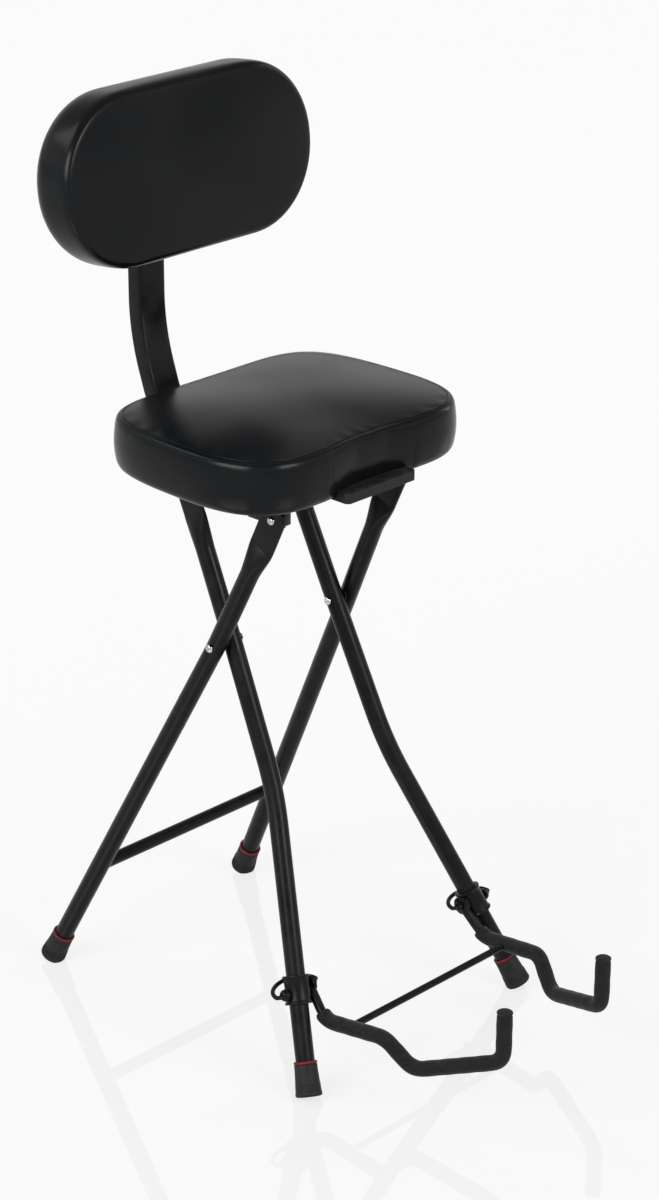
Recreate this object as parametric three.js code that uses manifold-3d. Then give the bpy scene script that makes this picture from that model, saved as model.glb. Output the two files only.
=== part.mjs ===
// Folding performer's stool with a padded seat, a padded back and a fold-out cradle.
// Millimetres. The front faces -Y and the sitter's left is +X. While it is built, z = 0 is the
// height where the leg lines end, in the middle of each sole, and the last lines raise it all to
// stand on the floor.
import * as THREE from 'three';
import { mergeVertices } from 'three/addons/utils/BufferGeometryUtils.js';
import Module from 'manifold-3d';

const wasm = await Module();
wasm.setup();

// Clearances
const fitGap = 0.3;
const cutOverrun = 4;
const mergeReach = 1e-4;

// Folding frame, seen from the side: both legs run straight through the scissor pivot
const tubeRadius = 10;
const tubeWall = 1.4;
const tubeSides = 16;
const topZ = 577;
const pivotZ = 421;
const rearStraightY = -78;
const rearTopY = -72;
const frontTopY = 73;
const flatLength = 38;
const flatFadeLength = 38;
const flatThickness = 5;
const flatWidth = 31;
const legTipLength = 15;
const legTipRound = 10;
const legTipShares = [0, 0.2, 0.5, 1];
const legTipNarrowShare = 0.5;
const flatSquareShare = 0.35;
const flatSteps = 4;
const flatBend = 14;
const straightBend = 6;
const bendSteps = 3;
const hollowShare = 0.6;

// Folding frame, seen from the front
const rearTopX = 90;
const rearPivotX = 99.2;
const rearFootX = 149;
const frontTopX = 73;
const bendX = 84;
const bendZ = 272;
const bendLength = 36;
const frontFootX = 165;
const soleZ = -3.2;
const washerThickness = 1.2;
const washerRadius = 6.5;

// Rivets
const rivetRadius = 3;
const rivetHeadRadius = 4.6;
const rivetHeadHeight = 2.6;
const rivetSides = 12;
const domeShares = [[1, 0], [0.92, 0.45], [0.6, 0.85]];
const rodHeadProud = 1;
const rodHeadShares = { edge: 0.4, top: 0.8, across: 0.7 };

// Cross members
const crossbarRadius = 7;
const crossbarWall = 1.2;
const crossbarZ = 127;
const hookRodRadius = 5;
const hookRodEndRadius = 3.5;

// Rubber feet
const footLength = 33.5;
const footTopRadius = 12;
const footSoleRadius = 14;
const footWorn = 1.2;
const footCover = 6;
const footSides = 16;
const footRibs = 4;
const footRibDepth = 0.6;
const footRibPitch = 2.4;
const footRibStart = 6;
const footRibShares = { in: 0.25, out: 0.75 };
const floorBlock = 60;
const ringHeight = 2.6;
const ringLip = 0.3;

// Seat
const seatAboveRivets = 26;
const seatSideHeight = 56;
const seatCrown = 11;
const seatHalfWidth = 165;
const seatFrontY = -126;
const seatBackY = 122;
const seatFrontFlat = 84;
const seatWidestY = -28;
const seatBackFlat = 70;
const seatFrontShares = [0.66, 0.3];
const seatBackShares = [0.8, 0.84];
const seatSideBulge = 3;
const seatEdgeRadius = 7;
const notchHalfWidth = 60;
const notchDepth = 8;
const notchFade = 7;
const notchShares = { inner: 0.55, outer: 0.3, reach: 0.9, fullness: 0.5 };
const seatCornerSteps = 8;
const seatSeamNip = 1.6;
const seatSeamBelow = 1.2;
const seatSeamNotchShare = 0.45;
// Each row: share of the side's height, share of the side bulge drawn in, share of the notch
const seatSideShares = [[0.063, 1.33, 1], [0.2, 0.3, 1], [0.5, 0, 1], [0.825, 0.3, 0.8]];
// Each row: share of the outline, share of the crown
const seatCrownShares = [[0.985, 0.12], [0.93, 0.34], [0.8, 0.66], [0.6, 0.88], [0.32, 0.98]];
const boardThickness = 12;
const boardInset = 13;

// Seat brackets
const sheet = 2.5;
const frontEarDrop = 7;
const frontEarRearReach = 52;
const frontEarFrontReach = 13;
const frontEarTaper = 14;
const earCorner = 3;
const rearEarDrop = 17;
const frontLip = 7;
const rearEarReach = 24;
const flangeWidth = 24;
const hookAngle = 35 * THREE.MathUtils.DEG2RAD;
const hookMouth = 3;
const screwAcrossShare = 0.55;
const frontScrewShare = 0.7;
const rearScrewShare = 0.66;
const cornerSteps = 3;
const earSteps = 12;

// Screws
const screwRadius = 2;
const screwHeadRadius = 4.2;
const screwHeadHeight = 2;
const screwLength = 10;
const screwTip = 1.5;
const screwSides = 10;
const headShares = { across: 0.7, edge: 0.4 };

// Back post
const postWidth = 38;
const postDepth = 19;
const postWall = 1.6;
const postCorner = 3;
const postFrontY = -34;
const postKneeY = 168;
const postElbowY = 202.5;
const postElbowRise = 89;
const postLean = 0.5 * THREE.MathUtils.DEG2RAD;
const postRise = 347;
const postKneeBend = 46;
const postElbowBend = 40;
const postCrush = 2.4;
const postCrushShare = 0.45;
const postBendSteps = 6;
const postCornerLeast = 0.9;
const postBoltSpacing = 52;
const postBoltFrontY = -6;
const boltRadius = 3;
const boltHeadRadius = 6.5;
const boltHeadHeight = 3.4;
const plugThickness = 3;

// Back pad
const padLean = 6 * THREE.MathUtils.DEG2RAD;
const backBelowPostTop = 69.5;
const backHalfWidth = 174;
const backHalfHeight = 90.5;
const backCornerRadius = 89;
const backPadDepth = 55;
const wedgeMiddle = 10.5;
const backRearRound = 18;
const backCrown = 5;
const backEdgeRadius = 14;
const backBoardThickness = 10;
const backBoardInset = 14;
const backCornerSteps = 8;
// Each row: shares of the inset and of the depth of the round that the row belongs to
const backRearShares = [[0.6, 0], [0.22, 0.3], [0, 1]];
const backFrontShares = [[0.06, 1], [0.14, 0.55], [0.42, 0.2], [1, 0]];
const backCrownShares = [[0.4, 0.55], [0.75, 0.9]];
const plateHalfWidth = 44;
const plateHalfHeight = 30;
const plateScrewX = 33;
const plateCorner = 8;
const screwBoss = 3;

// Neck rest block under the front of the seat
const restHalfWidth = 51;
const restProud = 12;
const restHeight = 11;
const restTongue = 2.6;
const restTongueReach = 22;
const restBevel = 4;
const restGap = 1;

// Cradle
const cradleZ = 93;
const eyeRadius = 10;
const eyeThickness = 4.5;
const armRadius = 5;
const armSides = 12;
const sleeveSides = 12;
const armBend = 26;
const armBendShares = [0.5, 0.4, 0.5, 0.55];
const armBendSteps = 3;
const armRootShare = 0.5;
const armKneeX = 124;
const armKneeY = -182;
const armKneeZ = 63;
const armCrestX = 121;
const armCrestY = -262;
const armCrestZ = 74;
const armValleyX = 109;
const armValleyY = -291;
const armValleyZ = 43.5;
const hookBaseX = 77;
const hookBaseY = -383;
const hookBaseZ = 77.5;
const hookTipZ = 133;
const sleeveRadius = 8.2;
const sleeveStart = 33;
const sleeveShort = 1;
const capThickness = 2.4;
const capShares = { edge: 0.6, across: 0.8 };
const crossRodRadius = 3.8;
const crossRodY = -215;

// Cradle pins, collars and wire bails
const collarLength = 30;
const collarWall = 2.6;
const collarBead = 1.2;
const collarSides = 14;
const pinRadius = 3;
const pinHeadRadius = 6.4;
const pinHeadHeight = 6.5;
const pinEndRadius = 4.8;
const pinEndHeight = 5;
const pinShares = { rim: 0.4, dome: 0.8, across: 0.8, top: 0.5 };
const bailRadius = 2.3;
const bailDepth = 19;
const bailSocket = 3;
const bailStub = 5;
const bailReach = 1;
const bailSteps = 12;
const bailSides = 8;
const bailStart = 2.5;
const bailRise = 4 * THREE.MathUtils.DEG2RAD;

const paint = { color: 0x17181a, roughness: 0.42, metalness: 0.35 };
const finishes = {
  frame: paint,
  vinyl: { color: 0x141617, roughness: 0.36, metalness: 0 },
  rubber: { color: 0x26292b, roughness: 0.78, metalness: 0 },
  red: { color: 0x8f2329, roughness: 0.6, metalness: 0 },
  foam: { color: 0x191c1f, roughness: 0.85, metalness: 0 },
  steel: { color: 0xb9bcbf, roughness: 0.3, metalness: 1 },
  board: { color: 0x2a2420, roughness: 0.8, metalness: 0 },
  nylon: { color: 0x1c1c1c, roughness: 0.5, metalness: 0 },
};

const stool = new THREE.Group();
const vec = (x, y, z) => new THREE.Vector3(x, y, z);
const axisX = vec(1, 0, 0);
const axisZ = vec(0, 0, 1);
const sides = [['left', 1], ['right', -1]];

// Geometry helpers

// The radius of a faceted bore that still clears a shaft by the fit gap at its flats
function boreRadius(shaft, facets) {
  return (shaft + fitGap) / Math.cos(Math.PI / facets);
}

function signedVolume(positions, index) {
  const [a, b, c] = [new THREE.Vector3(), new THREE.Vector3(), new THREE.Vector3()];
  let volume = 0;
  for (let i = 0; i < index.length; i += 3) {
    a.fromArray(positions, index[i] * 3);
    b.fromArray(positions, index[i + 1] * 3);
    c.fromArray(positions, index[i + 2] * 3);
    volume += a.dot(b.cross(c));
  }
  return volume;
}

function fromTriangles(positions, index) {
  if (signedVolume(positions, index) < 0) {
    for (let i = 0; i < index.length; i += 3) {
      [index[i], index[i + 1]] = [index[i + 1], index[i]];
    }
  }
  const geometry = new THREE.BufferGeometry();
  geometry.setAttribute('position', new THREE.Float32BufferAttribute(positions, 3));
  geometry.setIndex(index);
  return geometry;
}

// Skins a row of rings that all have as many points. A looped row is closed on itself.
function loft(rings, looped = false) {
  const count = rings[0].length;
  const positions = rings.flatMap((ring) => ring.flatMap((p) => [p.x, p.y, p.z]));
  const index = [];
  const spans = looped ? rings.length : rings.length - 1;
  for (let k = 0; k < spans; k += 1) {
    const low = k * count;
    const high = ((k + 1) % rings.length) * count;
    for (let i = 0; i < count; i += 1) {
      const j = (i + 1) % count;
      index.push(low + i, low + j, high + j, low + i, high + j, high + i);
    }
  }
  if (!looped) {
    for (const [start, flip] of [[0, true], [(rings.length - 1) * count, false]]) {
      const centre = new THREE.Vector3();
      for (let i = 0; i < count; i += 1) {
        const from = (start + i) * 3;
        centre.add(vec(...positions.slice(from, from + 3)));
      }
      centre.divideScalar(count);
      const middle = positions.length / 3;
      positions.push(centre.x, centre.y, centre.z);
      for (let i = 0; i < count; i += 1) {
        const j = (i + 1) % count;
        if (flip) index.push(start + j, start + i, middle);
        else index.push(start + i, start + j, middle);
      }
    }
  }
  return fromTriangles(positions, index);
}

function toSolid(geometry) {
  const bare = geometry.clone();
  bare.deleteAttribute('normal');
  bare.deleteAttribute('uv');
  const merged = mergeVertices(bare, mergeReach);
  return new wasm.Manifold(new wasm.Mesh({
    numProp: 3,
    vertProperties: Float32Array.from(merged.attributes.position.array),
    triVerts: Uint32Array.from(merged.index.array),
  }));
}

function toGeometry(solid) {
  const mesh = solid.getMesh();
  return fromTriangles(Array.from(mesh.vertProperties), Array.from(mesh.triVerts));
}

function cut(geometry, ...tools) {
  return toGeometry(tools.reduce((solid, tool) => solid.subtract(toSolid(tool)), toSolid(geometry)));
}

function join(geometry, ...others) {
  return toGeometry(others.reduce((solid, other) => solid.add(toSolid(other)), toSolid(geometry)));
}

function mirrored(geometry, sign) {
  if (sign > 0) return geometry.clone();
  const positions = Array.from(geometry.attributes.position.array);
  for (let i = 0; i < positions.length; i += 3) positions[i] = -positions[i];
  return fromTriangles(positions, Array.from(geometry.index.array));
}

function addPart(name, geometry, finish) {
  const mesh = new THREE.Mesh(geometry, new THREE.MeshStandardMaterial(finishes[finish]));
  mesh.name = name;
  stool.add(mesh);
  return mesh;
}

// Both sides of the stool get the same piece, mirrored across the middle
function addPair(name, geometry, finish) {
  for (const [side, sign] of sides) addPart(`${name}_${side}`, mirrored(geometry, sign), finish);
}

function lathed(profile, segments, origin, direction) {
  const points = profile.map(([r, h]) => new THREE.Vector2(r, h));
  const geometry = new THREE.LatheGeometry(points, segments);
  geometry.deleteAttribute('normal');
  geometry.deleteAttribute('uv');
  const solid = mergeVertices(geometry, mergeReach);
  const turn = new THREE.Quaternion().setFromUnitVectors(vec(0, 1, 0), direction.clone().normalize());
  solid.applyQuaternion(turn);
  solid.translate(origin.x, origin.y, origin.z);
  const clean = new Set();
  const kept = [];
  const index = Array.from(solid.index.array);
  for (let i = 0; i < index.length; i += 3) {
    clean.clear();
    clean.add(index[i]).add(index[i + 1]).add(index[i + 2]);
    if (clean.size === 3) kept.push(index[i], index[i + 1], index[i + 2]);
  }
  return fromTriangles(Array.from(solid.attributes.position.array), kept);
}

function rod(from, to, radius, segments) {
  const run = to.clone().sub(from);
  return lathed([[0, 0], [radius, 0], [radius, run.length()], [0, run.length()]], segments, from, run);
}

// A flat outline in (y, z) points, given its thickness along X from xLow to xHigh
function plateX(outline, xLow, xHigh) {
  return loft([xLow, xHigh].map((x) => outline.map(([y, z]) => vec(x, y, z))));
}

// A flat outline in (x, y) points, given its thickness from zLow to zHigh
function plateZ(outline, zLow, zHigh) {
  return loft([zLow, zHigh].map((z) => outline.map(([x, y]) => vec(x, y, z))));
}

function block(low, high) {
  const size = high.clone().sub(low);
  const box = new THREE.BoxGeometry(size.x, size.y, size.z);
  const middle = low.clone().add(high).divideScalar(2);
  return box.translate(middle.x, middle.y, middle.z);
}

// A line through corner points whose corners are rounded; reach is the length taken off each arm
function roundedLine(corners, reaches, steps) {
  const points = [corners[0]];
  for (let k = 1; k < corners.length - 1; k += 1) {
    const reach = reaches[k - 1];
    const before = corners[k - 1].clone().sub(corners[k]).normalize().multiplyScalar(reach).add(corners[k]);
    const after = corners[k + 1].clone().sub(corners[k]).normalize().multiplyScalar(reach).add(corners[k]);
    const bend = new THREE.QuadraticBezierCurve3(before, corners[k], after);
    points.push(...bend.getPoints(steps));
  }
  points.push(corners[corners.length - 1]);
  return points;
}

function lineLength(points) {
  let total = 0;
  for (let k = 1; k < points.length; k += 1) total += points[k].distanceTo(points[k - 1]);
  return total;
}

// The part of a line between two distances from its start
function lineSpan(points, start, end) {
  const span = [];
  let run = 0;
  for (let k = 1; k < points.length; k += 1) {
    const step = points[k].distanceTo(points[k - 1]);
    for (const mark of [start, end]) {
      if (mark > run && mark <= run + step) {
        span.push([mark, points[k - 1].clone().lerp(points[k], (mark - run) / step)]);
      }
    }
    run += step;
    if (run > start && run < end) span.push([run, points[k]]);
  }
  return span.sort((a, b) => a[0] - b[0]).map(([, p]) => p);
}

function pointAlong(points, distance) {
  let run = 0;
  for (let k = 1; k < points.length; k += 1) {
    const step = points[k].distanceTo(points[k - 1]);
    if (run + step >= distance) return points[k - 1].clone().lerp(points[k], (distance - run) / step);
    run += step;
  }
  return points[points.length - 1].clone();
}

// Frames along a line: at each point the tangent, a side direction and their cross product
function framesAlong(points, firstSide) {
  const frames = [];
  let side = firstSide.clone();
  for (let k = 0; k < points.length; k += 1) {
    const ahead = points[Math.min(k + 1, points.length - 1)];
    const behind = points[Math.max(k - 1, 0)];
    const tangent = ahead.clone().sub(behind).normalize();
    side.addScaledVector(tangent, -side.dot(tangent)).normalize();
    frames.push({ at: points[k], tangent, side: side.clone(), up: tangent.clone().cross(side) });
    side = side.clone();
  }
  return frames;
}

function circleRing(frame, radius, count) {
  const ring = [];
  for (let i = 0; i < count; i += 1) {
    const turn = (i / count) * Math.PI * 2;
    ring.push(frame.at.clone()
      .addScaledVector(frame.side, Math.cos(turn) * radius)
      .addScaledVector(frame.up, Math.sin(turn) * radius));
  }
  return ring;
}

function sweptTube(points, radius, count, innerRadius = 0, firstSide = axisX) {
  const frames = framesAlong(points, firstSide);
  const outer = frames.map((frame) => circleRing(frame, radius, count));
  if (innerRadius === 0) return loft(outer);
  const inner = frames.map((frame) => circleRing(frame, innerRadius, count)).reverse();
  return loft([...outer, ...inner], true);
}

// Heights that follow from the frame
const seatBaseZ = topZ + seatAboveRivets;
const seatSeamZ = seatBaseZ + seatSideHeight;
const postElbowZ = seatBaseZ + postElbowRise;
const postTopZ = seatBaseZ + postRise;
const backCentreZ = postTopZ - backBelowPostTop;

// Leg lines, in the side view and the front view
const rearY = (z) => ((z - pivotZ) * rearStraightY) / (topZ - pivotZ);
const frontY = (z) => ((z - pivotZ) * frontTopY) / (topZ - pivotZ);
const rearSplayAbove = (rearPivotX - rearTopX) / (topZ - pivotZ);
const rearSplayBelow = (rearFootX - rearPivotX) / pivotZ;
const frontSplay = (bendX - frontTopX) / (topZ - bendZ);
const washerLean = washerRadius * (rearSplayAbove + frontSplay);
const scissorSpacing = tubeRadius * 2 + washerThickness + washerLean + fitGap * 2;
const frontPivotX = rearPivotX - scissorSpacing;
const rearTop = vec(rearTopX, rearTopY, topZ);
const frontTop = vec(frontTopX, frontTopY, topZ);
const rearPivot = vec(rearPivotX, 0, pivotZ);
const frontPivot = vec(frontPivotX, 0, pivotZ);
const rearFloor = vec(rearFootX, rearY(soleZ), soleZ);
const frontBend = vec(bendX, frontY(bendZ), bendZ);
const frontFloor = vec(frontFootX, frontY(soleZ), soleZ);

// A leg's centre line from just past its top pivot to just short of the floor. The flattened top
// stands upright in the side plane, so a leg that leans sideways is kinked where the flat begins.
function legLine(top, pivot, later, bends) {
  const slope = vec(0, top.y - pivot.y, top.z - pivot.z).normalize();
  const flatEnd = top.clone().addScaledVector(slope, -flatLength);
  const tip = top.clone().addScaledVector(slope, legTipLength);
  const floorPoint = later[later.length - 1];
  const lastUp = [pivot, ...later][later.length - 1].clone().sub(floorPoint).normalize();
  const end = floorPoint.clone().addScaledVector(lastUp, footCover);
  const corners = [tip, flatEnd, pivot, ...later.slice(0, -1), end];
  return { line: roundedLine(corners, bends, bendSteps), foot: floorPoint, up: lastUp, end };
}

const rearLeg = legLine(rearTop, rearPivot, [rearFloor], [flatBend, straightBend]);
const frontLeg = legLine(frontTop, frontPivot, [frontBend, frontFloor],
  [flatBend, straightBend, bendLength]);

// The tube is pressed flat where it is riveted, and fades to round below that
const flatZone = legTipLength + flatLength;
const fadeEnd = flatZone + flatFadeLength;

function legSection(frame, along, inset) {
  const fade = THREE.MathUtils.smoothstep(along, flatZone, fadeEnd);
  const wide = THREE.MathUtils.lerp(flatWidth / 2, tubeRadius, fade) - inset;
  const thick = THREE.MathUtils.lerp(flatThickness / 2, tubeRadius, fade) - inset;
  const squareness = THREE.MathUtils.lerp(flatSquareShare, 1, fade);
  const ring = [];
  for (let i = 0; i < tubeSides; i += 1) {
    const turn = ((i + 1 / 2) / tubeSides) * Math.PI * 2;
    const c = Math.cos(turn);
    const s = Math.sin(turn);
    ring.push(frame.at.clone()
      .addScaledVector(frame.side, Math.sign(c) * Math.abs(c) ** squareness * thick)
      .addScaledVector(frame.up, s * wide));
  }
  return ring;
}

// The tip is rounded like a thumbnail: its first rings are narrower
function narrowed(ring, frame, along) {
  if (along >= legTipRound) return ring;
  const roundness = Math.sqrt(1 - (1 - along / legTipRound) ** 2);
  const share = THREE.MathUtils.lerp(legTipNarrowShare, 1, roundness);
  return ring.map((p) => {
    const across = p.clone().sub(frame.at).dot(frame.up);
    return p.clone().addScaledVector(frame.up, across * (share - 1));
  });
}

function legTube(leg) {
  const total = lineLength(leg.line);
  const alongs = legTipShares.map((share) => share * legTipRound);
  for (let k = 0; k <= flatSteps; k += 1) {
    alongs.push(THREE.MathUtils.lerp(flatZone, fadeEnd, k / flatSteps));
  }
  const points = alongs.map((along) => pointAlong(leg.line, along));
  const below = lineSpan(leg.line, fadeEnd + fitGap, total);
  let run = total - lineLength(below);
  below.forEach((p, k) => {
    if (k > 0) run += p.distanceTo(below[k - 1]);
    points.push(p);
    alongs.push(run);
  });
  const frames = framesAlong(points, axisX);
  const outer = frames.map((frame, k) => narrowed(legSection(frame, alongs[k], 0), frame, alongs[k]));
  const hollowFrom = flatZone + flatFadeLength * hollowShare;
  const inner = [];
  frames.forEach((frame, k) => {
    if (alongs[k] > hollowFrom) inner.push(legSection(frame, alongs[k], tubeWall));
  });
  return loft([...outer, ...inner.reverse()]);
}

const legAt = (from, to, z) => from.clone().lerp(to, (from.z - z) / (from.z - to.z));
const pinHoleRadius = boreRadius(rivetRadius, rivetSides);
const holeThrough = (at, radius, reach) => rod(
  at.clone().addScaledVector(axisX, -reach),
  at.clone().addScaledVector(axisX, reach),
  radius, rivetSides);

const cradleCentre = legAt(frontBend, frontFloor, cradleZ);
const legReach = tubeRadius + cutOverrun;

addPair('rear_leg', cut(legTube(rearLeg),
  holeThrough(rearTop, pinHoleRadius, legReach),
  holeThrough(rearPivot, pinHoleRadius, legReach)), 'frame');
addPair('front_leg', cut(legTube(frontLeg),
  holeThrough(frontTop, boreRadius(hookRodEndRadius, rivetSides), legReach),
  holeThrough(frontPivot, pinHoleRadius, legReach),
  holeThrough(cradleCentre, boreRadius(pinRadius, rivetSides), legReach * 2)), 'frame');

// Crossbar between the rear legs, its ends shaped to the tubes they meet
const crossbarEnd = legAt(rearPivot, rearFloor, crossbarZ);
const rearLegBody = rod(rearPivot, rearLeg.end, tubeRadius + fitGap, tubeSides * 2);
const crossbar = sweptTube([
  vec(-crossbarEnd.x, crossbarEnd.y, crossbarEnd.z),
  crossbarEnd,
], crossbarRadius, tubeSides, crossbarRadius - crossbarWall, axisZ);
addPart('rear_crossbar', cut(crossbar, rearLegBody, mirrored(rearLegBody, -1)), 'frame');

// Rubber feet with fine ribs, cut flat on the floor, and a red ring on each
const soleDrop = (leg) => Math.sqrt(1 - leg.up.z ** 2) * footSoleRadius;
const floorZ = soleZ - Math.min(soleDrop(rearLeg), soleDrop(frontLeg)) + footWorn * 2;

function footParts(leg) {
  const bore = boreRadius(tubeRadius, footSides);
  const outerAt = (h) => THREE.MathUtils.lerp(footSoleRadius, footTopRadius, h / footLength);
  const profile = [
    [0, 0],
    [footSoleRadius - footWorn, 0],
    [footSoleRadius, footWorn],
    [footSoleRadius, footRibStart],
  ];
  for (let k = 0; k < footRibs; k += 1) {
    const h = footRibStart + footRibPitch * k;
    profile.push([outerAt(h) - footRibDepth, h + footRibPitch * footRibShares.in]);
    profile.push([outerAt(h), h + footRibPitch * footRibShares.out]);
    profile.push([outerAt(h), h + footRibPitch]);
  }
  profile.push([footTopRadius, footLength], [bore, footLength]);
  profile.push([bore, footCover - fitGap], [0, footCover - fitGap]);
  const body = lathed(profile, footSides, leg.foot, leg.up);
  const below = block(
    vec(leg.foot.x - floorBlock, leg.foot.y - floorBlock, floorZ - floorBlock),
    vec(leg.foot.x + floorBlock, leg.foot.y + floorBlock, floorZ));
  const ringLow = footLength + fitGap;
  const band = lathed([
    [bore, ringLow],
    [footTopRadius + ringLip, ringLow],
    [footTopRadius + ringLip, ringLow + ringHeight],
    [bore, ringLow + ringHeight],
    [bore, ringLow],
  ], footSides, leg.foot, leg.up);
  return [cut(body, below), band];
}

for (const [name, leg] of [['rear', rearLeg], ['front', frontLeg]]) {
  const [foot, band] = footParts(leg);
  addPair(`${name}_foot`, foot, 'rubber');
  addPair(`${name}_foot_ring`, band, 'red');
}

// Rivets along X, from xLow to xHigh between the heads
function rivet(at, xLow, xHigh, shank, headRadius, headHeight) {
  const dome = (x, sign) => [
    ...domeShares.map(([across, up]) => [headRadius * across, x + sign * headHeight * up]),
    [0, x + sign * headHeight],
  ];
  const profile = [...dome(xLow, -1).reverse(), [shank, xLow], [shank, xHigh], ...dome(xHigh, 1)];
  return lathed(profile, rivetSides, vec(0, at.y, at.z), axisX);
}

const headLean = rivetHeadRadius * rearSplayBelow;
const scissorOuter = rearPivot.x + tubeRadius + headLean + fitGap;
const scissorInner = frontPivot.x - tubeRadius - headLean - fitGap;
addPair('scissor_rivet',
  rivet(rearPivot, scissorInner, scissorOuter, rivetRadius, rivetHeadRadius, rivetHeadHeight), 'steel');
const washerMiddle = rearPivot.x - tubeRadius - washerRadius * rearSplayAbove - fitGap - washerThickness;
addPair('scissor_washer', lathed([
  [pinHoleRadius, washerMiddle],
  [washerRadius, washerMiddle],
  [washerRadius, washerMiddle + washerThickness],
  [pinHoleRadius, washerMiddle + washerThickness],
  [pinHoleRadius, washerMiddle],
], rivetSides, vec(0, rearPivot.y, rearPivot.z), axisX), 'nylon');

// Seat brackets, pressed from sheet: a flange under the board and an ear that hangs from it
const flangeTopZ = seatBaseZ - fitGap;
const flangeLowZ = flangeTopZ - sheet;
const frontEarOuter = rearTopX - flatThickness / 2 - fitGap;
const frontEarInner = frontEarOuter - sheet;
const rearEarOuter = frontTopX - flatThickness / 2 - fitGap;
const rearEarInner = rearEarOuter - sheet;
const frontEarLowZ = topZ - frontEarDrop;
const rearEarLowZ = topZ - rearEarDrop;

const arcPoints = (cy, cz, radius, from, to, steps) => {
  const points = [];
  for (let k = 0; k <= steps; k += 1) {
    const turn = THREE.MathUtils.lerp(from, to, k / steps) * THREE.MathUtils.DEG2RAD;
    points.push([cy + Math.cos(turn) * radius, cz + Math.sin(turn) * radius]);
  }
  return points;
};

const frontEar = plateX([
  [rearTopY - frontEarFrontReach, flangeTopZ],
  ...arcPoints(
    rearTopY - frontEarFrontReach + earCorner, frontEarLowZ + earCorner, earCorner, 180, 270, cornerSteps),
  [rearTopY + frontEarRearReach - frontEarTaper, frontEarLowZ],
  [rearTopY + frontEarRearReach, flangeLowZ - sheet],
  [rearTopY + frontEarRearReach, flangeTopZ],
], frontEarInner, frontEarOuter);
const frontFlange = block(
  vec(frontEarInner - flangeWidth, rearTopY - frontEarFrontReach, flangeLowZ),
  vec(frontEarOuter - sheet / 2, rearTopY + frontEarRearReach, flangeTopZ));
const frontFold = block(
  vec(frontEarInner - frontLip, rearTopY - frontEarFrontReach, frontEarLowZ + earCorner),
  vec(frontEarInner + sheet / 2, rearTopY - frontEarFrontReach + sheet, flangeLowZ + sheet / 2));
const frontScrews = [-frontEarFrontReach / 2, frontEarRearReach * frontScrewShare]
  .map((y) => vec(frontEarInner - flangeWidth * screwAcrossShare, rearTopY + y, flangeLowZ));
const screwHole = (at) => rod(vec(at.x, at.y, at.z - cutOverrun), vec(at.x, at.y, at.z + sheet + cutOverrun),
  boreRadius(screwRadius, screwSides), screwSides);
addPair('front_bracket', cut(join(frontEar, frontFlange, frontFold),
  holeThrough(vec(frontEarOuter, rearTop.y, rearTop.z), pinHoleRadius, sheet + cutOverrun),
  ...frontScrews.map(screwHole)), 'frame');
addPair('seat_pivot_rivet', rivet(rearTop, frontEarInner - fitGap, rearTopX + flatThickness / 2 + fitGap,
  rivetRadius, rivetHeadRadius, rivetHeadHeight), 'steel');

// The rear ear is a hook: its slot drops off the rod as the back of the seat is lifted
const slotSteps = 8;
const slotRadius = boreRadius(hookRodRadius, slotSteps * 2);
const slotRun = vec(0, -Math.sin(hookAngle), -Math.cos(hookAngle));
const slotSide = vec(0, -Math.cos(hookAngle), Math.sin(hookAngle));
const slotLength = rearEarDrop * 2;
const slotCut = (() => {
  const at = vec(0, frontTop.y, frontTop.z);
  const corners = [];
  for (let k = 0; k <= slotSteps; k += 1) {
    const turn = Math.PI * (k / slotSteps);
    corners.push(at.clone()
      .addScaledVector(slotSide, Math.cos(turn) * slotRadius)
      .addScaledVector(slotRun, -Math.sin(turn) * slotRadius));
  }
  const mouth = at.clone().addScaledVector(slotRun, slotLength);
  corners.push(mouth.clone().addScaledVector(slotSide, -slotRadius - hookMouth));
  corners.push(mouth.clone().addScaledVector(slotSide, slotRadius + hookMouth));
  return plateX(corners.map((p) => [p.y, p.z]), rearEarInner - cutOverrun, rearEarOuter + cutOverrun);
})();
const rearEar = plateX([
  [frontTopY - rearEarReach, flangeTopZ],
  [frontTopY - rearEarReach, topZ],
  ...arcPoints(frontTopY, topZ, rearEarReach, 180, 360, earSteps).slice(1, -1),
  [frontTopY + rearEarReach, topZ],
  [frontTopY + rearEarReach, flangeTopZ],
].map(([y, z]) => [y, Math.max(z, rearEarLowZ)]), rearEarInner, rearEarOuter);
const rearFlange = block(
  vec(rearEarInner - flangeWidth, frontTopY - rearEarReach, flangeLowZ),
  vec(rearEarOuter - sheet / 2, frontTopY + rearEarReach, flangeTopZ));
const rearScrews = [-1, 1]
  .map((s) => frontTopY + s * rearEarReach * rearScrewShare)
  .map((y) => vec(rearEarInner - flangeWidth * screwAcrossShare, y, flangeLowZ));
addPair('rear_bracket', cut(join(rearEar, rearFlange), slotCut, ...rearScrews.map(screwHole)), 'frame');

// The rod that the hooks rest on, with ends peened over outside the front legs
const rodShoulder = frontTopX - flatThickness / 2 - fitGap;
const rodEnd = frontTopX + flatThickness / 2 + fitGap;
const rodHead = [
  [rivetHeadRadius + rodHeadProud, rodEnd],
  [rivetHeadRadius + rodHeadProud, rodEnd + rivetHeadHeight * rodHeadShares.edge],
  [rivetHeadRadius * rodHeadShares.across, rodEnd + rivetHeadHeight * rodHeadShares.top],
  [0, rodEnd + rivetHeadHeight * rodHeadShares.top],
];
const rodHalf = [
  [hookRodRadius, rodShoulder],
  [hookRodEndRadius, rodShoulder],
  [hookRodEndRadius, rodEnd],
  ...rodHead,
];
const rodProfile = [...rodHalf.map(([r, x]) => [r, -x]).reverse(), ...rodHalf];
addPart('hook_rod', lathed(rodProfile, tubeSides, vec(0, frontTop.y, frontTop.z), axisX), 'frame');

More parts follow.
